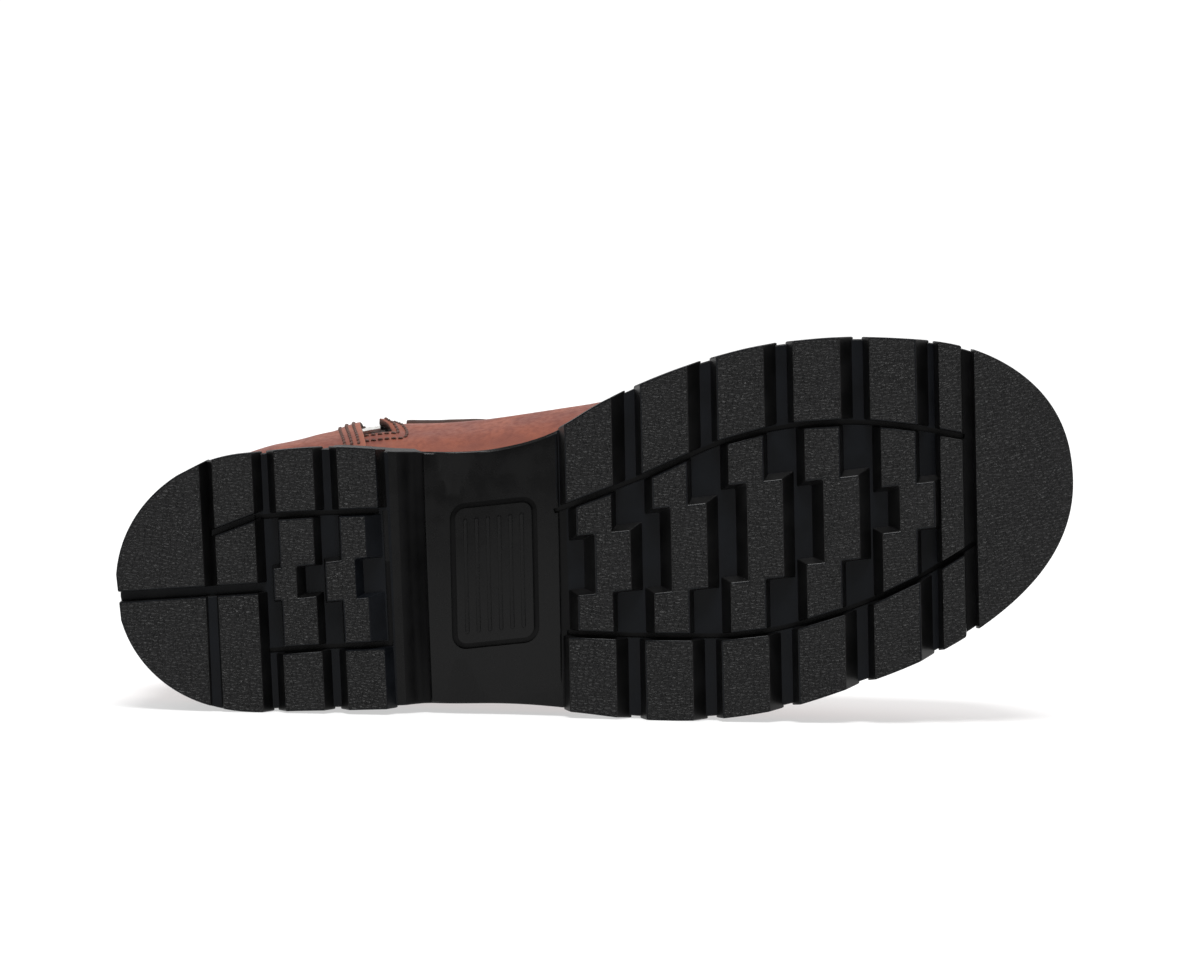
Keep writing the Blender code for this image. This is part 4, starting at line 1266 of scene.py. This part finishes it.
def set_wear(mesh, values):
    """Share of rubbed, lighter leather at each point."""
    layer = mesh.attributes.new("wear", "FLOAT", "POINT")
    layer.data.foreach_set("value", np.clip(values, 0, 1).ravel().astype(np.float32))


def make_upper():
    rows = np.linspace(0, TOP_ROW, WALL_ROWS)
    s = np.array([wall_columns(row) for row in rows])
    count = s.shape[1]
    row = np.repeat(rows[:, None], count, axis=1)
    points, faces = loft(list(wall_point(row, s, relief(row, s))))
    slot = int(np.argmin(np.abs(rows - SLOT_ROW)))
    faces = [face for k, face in enumerate(faces) if k % count < count - SLOT_COLUMNS or k // count < slot]
    mesh = raw_mesh("upper", points, faces)
    ahead = upper_point(row, s)[..., 0] - zip_place(row) - slot_front(row)
    to_edge = np.abs(ahead) + np.where(s < 0, 0, LENGTH)
    set_wear(mesh, EDGE_WEAR * np.exp(-to_edge / EDGE_WEAR_REACH) + np.exp(-row / WEAR_ROWS))
    finishes = [leather("leather"), woven("lining"), raw_edge()]
    obj = add_piece("upper_leather", mesh, finishes, "upper")
    settings = {"thickness": MM * WALL, "offset": -1, "material_offset": 1, "material_offset_rim": 2}
    add_modifier(obj, "SOLIDIFY", **settings)


def counter_edge(row):
    """Front edge of the heel counter, leaning forward towards the sole."""
    return COUNTER_FRONT + COUNTER_LEAN * (1 - soft_step(row, *COUNTER_LEAN_ROWS))


def counter_place(share, k):
    """Row and ring position on the heel counter, share up it and k from medial edge to lateral."""
    row = share * (COUNTER_TOP_ROW - COUNTER_DIP * np.abs(k) ** COUNTER_DIP_POWER)
    return row, k * share_at(row, counter_edge(row))


def counter_lift(row, s):
    """Offset of the counter's inner face from the wall, thicker along its front edges."""
    x = upper_point(row, s)[..., 0]
    from_edge = counter_edge(row) - x
    band = COUNTER_BAND * (1 - soft_step(from_edge, COUNTER_BAND_WIDTH / 2, COUNTER_BAND_WIDTH))
    full = COUNTER_FULL * hump(x, COUNTER_FULL_SPAN) * hump(row, COUNTER_FULL_ROWS)
    return COUNTER_CLEAR + band + np.where(s < 0, full, 0)


def make_counter():
    share, k = np.meshgrid(
        np.linspace(COUNTER_START, 1, COUNTER_ROWS), np.linspace(-1, 1, COUNTER_COLUMNS), indexing="ij"
    )
    row, s = counter_place(share, k)
    points, faces = loft(list(wall_point(row, s, counter_lift(row, s))), closed=False)
    mesh = raw_mesh("counter", points, [face[::-1] for face in faces])
    to_edge = np.minimum(COUNTER_HALF_ROUND * (1 - np.abs(k)), COUNTER_HEIGHT * (1 - share))
    set_wear(mesh, np.exp(-to_edge / EDGE_WEAR_REACH))
    finishes = [leather("counter_leather"), raw_edge()]
    obj = add_piece("counter_leather", mesh, finishes, "heel_counter")
    add_modifier(obj, "SOLIDIFY", thickness=MM * COUNTER_THICKNESS, offset=1, material_offset_rim=1)
    round_off(obj, COUNTER_EDGE_ROUND, COUNTER_ROUND_ANGLE)


def row_at_depth(drop, s):
    """Ring positions at depths below the top edge."""
    target = upper_point(np.full_like(s, TOP_ROW), s)[..., 2] - drop
    low = np.zeros_like(s)
    high = np.full_like(s, TOP_ROW)
    for _ in range(BISECTIONS):
        middle = (low + high) / 2
        under = upper_point(middle, s)[..., 2] < target
        low = np.where(under, middle, low)
        high = np.where(under, high, middle)
    return high


def collar_share(row, turn):
    """Ring position at a share of the way round from the opening's front edge to its rear one."""
    x = zip_place(row)
    front = share_at(row, x + COLLAR_OPENING / 2)
    rear = share_at(row, x - COLLAR_OPENING / 2)
    third = 3 * turn
    forward = -(front + (1 - front) * third)
    backward = 1 + (rear - 1) * (third - 1)
    round_back = rear - 2 * rear * (third - 2)
    return np.where(third < 1, forward, np.where(third < 2, backward, round_back))


def collar_section():
    """Heights and offsets round the collar's section, the padded outside on a smooth curve."""
    run = run_along(COLLAR_OUTSIDE)
    at = np.concatenate([np.linspace(a, b, COLLAR_STEPS, endpoint=False) for a, b in zip(run, run[1:])])
    outside = np.stack([smooth(at, run, values) for values in np.array(COLLAR_OUTSIDE).T], axis=1)
    return np.concatenate((outside, [COLLAR_OUTSIDE[-1]], COLLAR_SEAT))


def collar_points(section, turns):
    """Points of the padded roll at each share of the way round."""
    height, turn = np.meshgrid(section[:, 0], turns)
    offset = np.repeat(section[None, :, 1], len(turns), axis=0)
    s = collar_share(np.full_like(turn, TOP_ROW), turn)
    row = row_at_depth(np.maximum(-height, 0), s)
    s = collar_share(row, turn)
    waves = sum(size * np.sin(rate * turn + start) for size, rate, start in COLLAR_WAVES)
    from_channel = (height - COLLAR_CHANNEL_AT) / COLLAR_CHANNEL_HALF
    puckers = COLLAR_PUCKER * waves * np.exp(-((from_channel / COLLAR_PUCKER_REACH) ** 2))
    channel = COLLAR_CHANNEL * np.exp(-(from_channel**2))
    soft = np.where(offset > COLLAR_PADDED_FROM, puckers - channel, 0)
    full = from_table(COLLAR_FULLNESS, 1, upper_point(row, s)[..., 0])
    full = full * soft_step(offset, *COLLAR_FULL_OFFSETS)
    points = wall_point(row, s, offset + soft + np.where(s < 0, full, 0))
    points[..., 2] += np.maximum(height, 0)
    return points


def make_collar():
    points = collar_points(collar_section(), np.linspace(0, 1, COLLAR_COLUMNS))
    mesh = clean(raw_mesh("collar", *capped(list(points))))
    obj = add_piece("collar_pad", mesh, [collar_leather()], "collar")
    mesh.set_sharp_from_angle(angle=math.radians(COLLAR_SHARP))


# Zip


def zip_frame(row):
    """Middle of the zip on the wall's outer face, with the directions across it, up it and outwards."""
    s = -share_at(row, zip_place(row))
    top = min(row + ZIP_ROW_STEP, TOP_ROW)
    bottom = row - ZIP_ROW_STEP
    up = upper_point(top, -share_at(top, zip_place(top))) - upper_point(bottom, s)
    normal = upper_normal(row, s)
    across = np.cross(up, normal)
    across /= np.linalg.norm(across)
    return upper_point(row, s), across, np.cross(normal, across), normal


def rounded_box(low, high):
    """Corners and faces of a box with softened edges."""
    bm = bmesh.new()
    bmesh.ops.create_cube(bm, size=1)
    low = np.array(low)
    high = np.array(high)
    for corner in bm.verts:
        corner.co = (low + high) / 2 + np.array(corner.co) * (high - low)
    bmesh.ops.bevel(bm, geom=bm.edges[:], offset=TOOTH_ROUND, segments=2, profile=0.5, affect="EDGES")
    return block_of(bm)


def make_teeth():
    """Closed chain: teeth from both tapes, taking turns."""
    rows = np.linspace(*CHAIN_ROWS, CHAIN_SAMPLES)
    run = run_along([zip_frame(row)[0] for row in rows])
    half = TOOTH_LENGTH / 2
    low = (-TOOTH_INNER, -half, CHAIN_LOW)
    points, faces = rounded_box(low, (TOOTH_OUTER, half, CHAIN_LOW + CHAIN_THICKNESS))
    points = np.array(points)
    blocks = []
    for k, place in enumerate(np.arange(half, run[-1] - half, TOOTH_PITCH / 2)):
        side = 1 if k % 2 else -1
        row = np.interp(place, run, rows)
        middle, across, up, normal = zip_frame(row)
        dip = CHAIN_DIP * (1 - soft_step(row, *CHAIN_DIP_ROWS))
        turned = middle - dip * normal + points @ np.array((side * across, up, normal))
        blocks.append((list(turned), faces))
    mesh = clean(raw_mesh("teeth", *joined(blocks)))
    add_piece("zip_teeth", mesh, [metal("teeth_metal")], "zip_chain")
    mesh.set_sharp_from_angle(angle=math.radians(TOOTH_SHARP))


def finish_hardware():
    """Better materials and softened edges for the parts that keep their own solids."""
    finishes = {
        "zip_stop": metal("stop_metal"),
        "zip_slider": metal("slider_metal"),
        "zip_pull": metal("pull_metal"),
        "zip_tape": woven("tape_weave"),
        "insole": woven("footbed"),
    }
    for name, finish in finishes.items():
        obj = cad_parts[name]
        for material_slot in obj.material_slots:
            material_slot.material = finish
        if name != "zip_tape":
            round_off(obj, HARDWARE_ROUND, HARDWARE_ROUND_ANGLE)


# Stitching


def stitches(points, normals):
    """Thread along a path on the leather, one closed stitch after another."""
    run = run_along(points)
    shares, heights, widths = np.array(STITCH_PROFILE).T
    angles = np.linspace(0, 2 * math.pi, STITCH_SIDES, endpoint=False)
    blocks = []
    for start in np.arange(0, run[-1] - STITCH_LENGTH, STITCH_PITCH):
        at = start + shares * STITCH_LENGTH
        centre, normal = (
            np.stack([np.interp(at, run, column) for column in path.T], axis=1) for path in (points, normals)
        )
        along = centre[-1] - centre[0]
        across = np.cross(along / np.linalg.norm(along), normal)
        centre += heights[:, None] * normal + (STITCH_SLANT * (2 * shares - 1))[:, None] * across
        rings = []
        for middle, out, aside, width in zip(centre, normal, across, widths):
            radius = STITCH_RADIUS * width
            rings.append([
                middle + radius * (math.cos(a) * aside + STITCH_FLATTEN * math.sin(a) * out) for a in angles
            ])
        blocks.append(capped(rings))
    return blocks


def smooth_path(places):
    """A path of pairs through given places, evenly smooth."""
    knots = np.arange(len(places))
    at = np.linspace(0, knots[-1], PATH_STEPS * knots[-1] + 1)
    return [smooth(at, knots, column) for column in np.array(places, float).T]


def counter_stitches(from_edge):
    """Row of stitches along the front edges and the top of the counter."""
    aside = 1 - from_edge / COUNTER_HALF_ROUND
    top = 1 - from_edge / COUNTER_HEIGHT
    rise = [(share, -aside) for share in np.linspace(*STITCH_RUNS["counter_up"]) * top]
    over = [(top, k) for k in np.linspace(*STITCH_RUNS["counter_over"]) * aside]
    fall = [(share, aside) for share, _ in rise[::-1]]
    row, s = counter_place(*smooth_path(rise + over + fall))
    return stitches(wall_point(row, s, counter_lift(row, s) + COUNTER_THICKNESS), upper_normal(row, s))


def placket_stitches(ahead, below):
    """Row of stitches under the zip's slot and up beside its front edge."""
    bottom = SLOT_ROW - below
    front = slot_front(bottom)
    corner_rise, corner_share = PLACKET_STITCH_CORNER
    under_to = front + PLACKET_STITCH_UNDER * ahead
    under = [(bottom, x) for x in np.linspace(PLACKET_STITCH_REAR, under_to, PLACKET_UNDER_PLACES)]
    corner = [(bottom + corner_rise, front + corner_share * ahead)]
    up_rows = np.linspace(bottom + PLACKET_STITCH_RISE, PLACKET_STITCH_TOP, PLACKET_UP_PLACES)
    row, x = smooth_path(under + corner + [(row, slot_front(row) + ahead) for row in up_rows])
    s = -share_at(row, zip_place(row) + x)
    return stitches(wall_point(row, s, relief(row, s)), upper_normal(row, s))


def collar_stitches():
    """Row of stitches in the sewn channel along the collar's lower edge."""
    section = collar_section()
    outside = section[: len(section) // 2]
    channel = outside[np.argmin(np.abs(outside[:, 0] - COLLAR_CHANNEL_AT))]
    turns = np.linspace(*STITCH_RUNS["collar"])
    points, outer = (collar_points(channel[None, :] + (0, out), turns)[:, 0] for out in (0.0, 1.0))
    normals = outer - points
    return stitches(points, normals / np.linalg.norm(normals, axis=1, keepdims=True))


def make_stitching():
    rows = {
        "counter_stitching": [counter_stitches(edge) for edge in COUNTER_STITCH_FROM_EDGE],
        "placket_stitching": [placket_stitches(*place) for place in PLACKET_STITCHES],
        "collar_stitching": [collar_stitches()],
    }
    finish = thread()
    for name, parts in rows.items():
        blocks = [block for part in parts for block in part]
        add_piece(name, clean(raw_mesh(name, *joined(blocks))), [finish])


# Materials


class Finish:
    """A procedural material: its nodes work in millimetres on the object's own coordinates."""

    def __init__(self, name, **sockets):
        self.material = bpy.data.materials.new(name)
        self.material.use_nodes = True
        self.tree = self.material.node_tree
        self.shader = self.tree.nodes["Principled BSDF"]
        for socket in self.shader.inputs:
            key = socket.name.lower().replace(" ", "_")
            if key in sockets:
                socket.default_value = sockets[key]
        coordinates = self.node("ShaderNodeTexCoord", {})
        self.position = self.vector("MULTIPLY", coordinates.outputs["Object"], (1 / MM,) * 3)

    def feed(self, socket, value):
        """Links an output to a socket, or sets the socket to a plain value."""
        if isinstance(value, bpy.types.NodeSocket):
            self.tree.links.new(value, socket)
        else:
            socket.default_value = value

    def node(self, kind, inputs, **settings):
        """A node with its settings and with its inputs fed, each by its name or place."""
        made = self.tree.nodes.new(kind)
        for name, value in settings.items():
            setattr(made, name, value)
        for key, value in inputs.items():
            self.feed(made.inputs[key], value)
        return made

    def vector(self, operation, *values):
        return self.node("ShaderNodeVectorMath", dict(enumerate(values)), operation=operation).outputs[0]

    def product(self, *values):
        return self.node("ShaderNodeMath", dict(enumerate(values)), operation="MULTIPLY").outputs[0]

    def noise(self, size, detail, at=None, output="Fac"):
        """Cloudy pattern whose blotches are about size millimetres wide."""
        inputs = {"Scale": 1 / size, "Detail": detail, "Vector": at or self.position}
        return self.node("ShaderNodeTexNoise", inputs).outputs[output]

    def wander(self, size, amount):
        """Positions pushed about at random, so that patterns lose their regularity."""
        push = self.vector("SUBTRACT", self.noise(size, detail=2.0, output="Color"), (0.5,) * 3)
        return self.vector("ADD", self.position, self.vector("MULTIPLY", push, (amount,) * 3))

    def pebbles(self, size, at, randomness=1.0):
        """Rounded cells about size millimetres wide, 0 in the creases between them."""
        inputs = {"Scale": 1 / size, "Randomness": randomness, "Vector": at}
        made = self.node("ShaderNodeTexVoronoi", inputs, feature="DISTANCE_TO_EDGE")
        return self.span(made.outputs["Distance"], CELL_SHOULDER)

    def span(self, value, start=MIDDLE, end=WHOLE):
        """Value taken smoothly from one range to another."""
        inputs = dict(enumerate((value, *start, *end)))
        return self.node("ShaderNodeMapRange", inputs, interpolation_type="SMOOTHSTEP").outputs[0]

    def mix(self, share, first, second):
        colours = [(*value, 1) if isinstance(value, tuple) else value for value in (first, second)]
        inputs = dict(zip(MIX_INPUTS, (share, *colours)))
        return self.node("ShaderNodeMix", inputs, data_type="RGBA").outputs[2]

    def bump(self, height, strength, depth, under=None):
        """Relief of a pattern, depth in millimetres, on top of an earlier relief."""
        inputs = {"Strength": strength, "Distance": MM * depth, "Height": height}
        if under:
            inputs["Normal"] = under
        return self.node("ShaderNodeBump", inputs).outputs[0]

    def done(self, colour, roughness, normal):
        for name, value in (("Base Color", colour), ("Roughness", roughness), ("Normal", normal)):
            self.feed(self.shader.inputs[name], value)
        return self.material


def rubber(name, tone, roughness, shine, grain, size):
    """Black moulded rubber, with a leathery grain of creased cells where grain is above 0; the creases are
    painted darker as shade.
    """
    finish = Finish(name, specular_ior_level=shine)
    cloud = finish.noise(size=9.0, detail=4.0)
    dark, light = (tuple(share * part for part in tone) for share in RUBBER_SHADES)
    colour = finish.mix(finish.span(cloud), dark, light)
    rough = finish.span(cloud, end=(roughness - ROUGHNESS_VARIES, roughness + ROUGHNESS_VARIES))
    relief_map = finish.bump(finish.noise(size=0.35, detail=2.0), strength=0.2, depth=0.04)
    if grain > 0:
        long_cells = finish.vector("MULTIPLY", finish.wander(size=1.6, amount=1.1), GRAIN_STRETCH)
        cells = finish.pebbles(size, long_cells)
        fine = finish.pebbles(FINE_GRAIN * size, finish.wander(size=0.9, amount=0.5))
        relief_map = finish.bump(fine, FINE_GRAIN_SHARE * grain, depth=0.14, under=relief_map)
        relief_map = finish.bump(cells, grain, depth=0.5, under=relief_map)
        # The creases between the grain's cells are painted darker: painted shade.
        colour = finish.mix(finish.span(cells, start=WHOLE, end=(0.6, 0.0)), colour, dark)
    return finish.done(colour, rough, relief_map)


def leather(name):
    """Smooth red-brown waxed leather, lighter and more orange where it is rubbed."""
    finish = Finish(name, specular_ior_level=0.16)
    mottle = finish.noise(size=1.8, detail=4.0)
    colour = finish.mix(finish.span(finish.noise(size=11.0, detail=5.0)), *LEATHER_TONES)
    colour = finish.mix(finish.span(mottle, start=(0.42, 0.75), end=(0.0, 0.55)), colour, LEATHER_MOTTLE)
    wear = finish.node("ShaderNodeAttribute", {}, attribute_name="wear").outputs["Fac"]
    rubbed = finish.product(wear, finish.span(mottle, start=(0.25, 0.7), end=(0.35, 0.9)))
    colour = finish.mix(rubbed, colour, LEATHER_RUBBED)
    cells = finish.pebbles(0.8, finish.wander(size=1.2, amount=0.8))
    relief_map = finish.bump(finish.noise(size=0.22, detail=2.0), strength=0.25, depth=0.05)
    relief_map = finish.bump(cells, strength=0.3, depth=0.1, under=relief_map)
    waves = finish.noise(size=5.0, detail=3.0)
    relief_map = finish.bump(waves, strength=0.35, depth=0.5, under=relief_map)
    return finish.done(colour, finish.span(mottle, end=(0.5, 0.64)), relief_map)


def collar_leather():
    """Soft dark brown padding leather."""
    finish = Finish("collar_leather", specular_ior_level=0.04)
    broad = finish.noise(size=8.0, detail=4.0)
    colour = finish.mix(finish.span(broad), *COLLAR_TONES)
    cells = finish.pebbles(1.1, finish.wander(size=1.4, amount=0.9))
    relief_map = finish.bump(finish.noise(size=0.3, detail=2.0), strength=0.2, depth=0.05)
    relief_map = finish.bump(cells, strength=0.45, depth=0.16, under=relief_map)
    return finish.done(colour, finish.span(broad, end=(0.6, 0.75)), relief_map)


def woven(name):
    """Close woven cloth: small cells, even where scatter is low, and fuzzy threads."""
    dark, light, size, sheen, scatter = CLOTHS[name]
    finish = Finish(name, specular_ior_level=0.2, sheen_weight=sheen, sheen_roughness=0.5)
    knots = finish.pebbles(size, finish.wander(size=2.0, amount=0.15), scatter)
    fuzz = finish.noise(size=0.2, detail=3.0)
    shade = finish.product(knots, finish.span(fuzz, FUZZ_RANGE, end=(0.6, 1.0)))
    colour = finish.mix(shade, dark, light)
    relief_map = finish.bump(fuzz, strength=0.3, depth=0.06)
    relief_map = finish.bump(knots, strength=0.7, depth=0.2, under=relief_map)
    return finish.done(colour, finish.span(fuzz, FUZZ_RANGE, end=(0.78, 0.95)), relief_map)


def raw_edge():
    """Cut edge of the leather: dark dyed fibres."""
    finish = Finish("raw_edge", specular_ior_level=0.25)
    fibres = finish.noise(size=0.3, detail=4.0)
    colour = finish.mix(finish.span(fibres), *EDGE_TONES)
    rough = finish.span(fibres, end=(0.6, 0.85))
    return finish.done(colour, rough, finish.bump(fibres, strength=0.5, depth=0.15))


def thread():
    """Dark brown waxed thread with a twist."""
    finish = Finish("thread", specular_ior_level=0.2)
    inputs = {"Scale": 1.4, "Vector": finish.position}
    strands = finish.node("ShaderNodeTexWave", inputs, bands_direction="DIAGONAL").outputs["Fac"]
    rough = finish.span(strands, start=WHOLE, end=(0.5, 0.38))
    relief_map = finish.bump(strands, strength=0.5, depth=0.1)
    return finish.done(finish.mix(strands, *THREAD_TONES), rough, relief_map)


def metal(name):
    """Plated metal, finely scratched, its tone and roughness varying in soft blotches."""
    finish = Finish(name, metallic=1.0)
    smear = finish.noise(size=2.5, detail=4.0)
    along = finish.vector("MULTIPLY", finish.position, SCRATCH_STRETCH)
    scratches = finish.noise(size=0.25, detail=3.0, at=along)
    colour = finish.mix(finish.span(smear), *METAL_TONES)
    relief_map = finish.bump(scratches, strength=0.15, depth=0.04)
    return finish.done(colour, finish.span(smear, end=METALS[name]), relief_map)


# Stage


def make_floor():
    corners = [(x * FLOOR_HALF, y * FLOOR_HALF, 0) for x, y in ((-1, -1), (1, -1), (1, 1), (-1, 1))]
    floor = new_object("floor", raw_mesh("floor", corners, [(0, 1, 2, 3)]))
    look = {"roughness": 0.9, "specular_ior_level": 0.1, "emission_strength": FLOOR_GLOW}
    finish = Finish("floor", base_color=(FLOOR_TONE, FLOOR_TONE, FLOOR_TONE, 1), **look)
    floor.data.materials.append(finish.material)


def make_light():
    """White studio: bright overhead and behind the boot, dimmer where the viewer stands."""
    world = bpy.data.worlds.new("studio")
    world.use_nodes = True
    tree = world.node_tree
    direction = tree.nodes.new("ShaderNodeTexCoord").outputs["Generated"]
    parts = tree.nodes.new("ShaderNodeSeparateXYZ")
    tree.links.new(direction, parts.inputs[0])
    total = tree.nodes["Background"].inputs["Strength"]
    for axis, low, high, dim, bright in SKY:
        glow = tree.nodes.new("ShaderNodeMapRange")
        glow.interpolation_type = "SMOOTHSTEP"
        for socket, value in zip(glow.inputs[1:5], (low, high, dim, bright)):
            socket.default_value = value
        tree.links.new(parts.outputs[axis], glow.inputs[0])
        step = tree.nodes.new("ShaderNodeMath")
        tree.links.new(glow.outputs[0], step.inputs[0])
        tree.links.new(step.outputs[0], total)
        total = step.inputs[1]
    total.default_value = 0.0
    tree.nodes["Background"].inputs["Color"].default_value = (1, 1, 1, 1)
    bpy.context.scene.world = world
    sun = bpy.data.lights.new("sun", "SUN")
    sun.energy = SUN_STRENGTH
    sun.angle = math.radians(SUN_ANGLE)
    lamp = new_object("sun", sun)
    lamp.rotation_euler = (math.radians(SUN_TILT), 0, 0)
    bpy.context.scene.view_settings.view_transform = "Standard"


def make_camera():
    data = bpy.data.cameras.new("camera")
    data.lens = LENS
    data.sensor_width = SENSOR
    data.clip_start, data.clip_end = CLIP
    camera = new_object("camera", data)
    angle = math.radians(ELEVATION)
    back = Vector((0, -math.cos(angle), math.sin(angle)))
    turn = (-back).to_track_quat("-Z", "Y").to_matrix().to_4x4()
    roll = Matrix.Rotation(math.radians(ROLL), 4, "Z")
    camera.matrix_world = Matrix.Translation(AIM + back * DISTANCE) @ turn @ roll
    bpy.context.scene.camera = camera


make_camera()
make_floor()
make_light()
make_outsole()
make_upper()
make_counter()
make_collar()
make_teeth()
finish_hardware()
make_stitching()
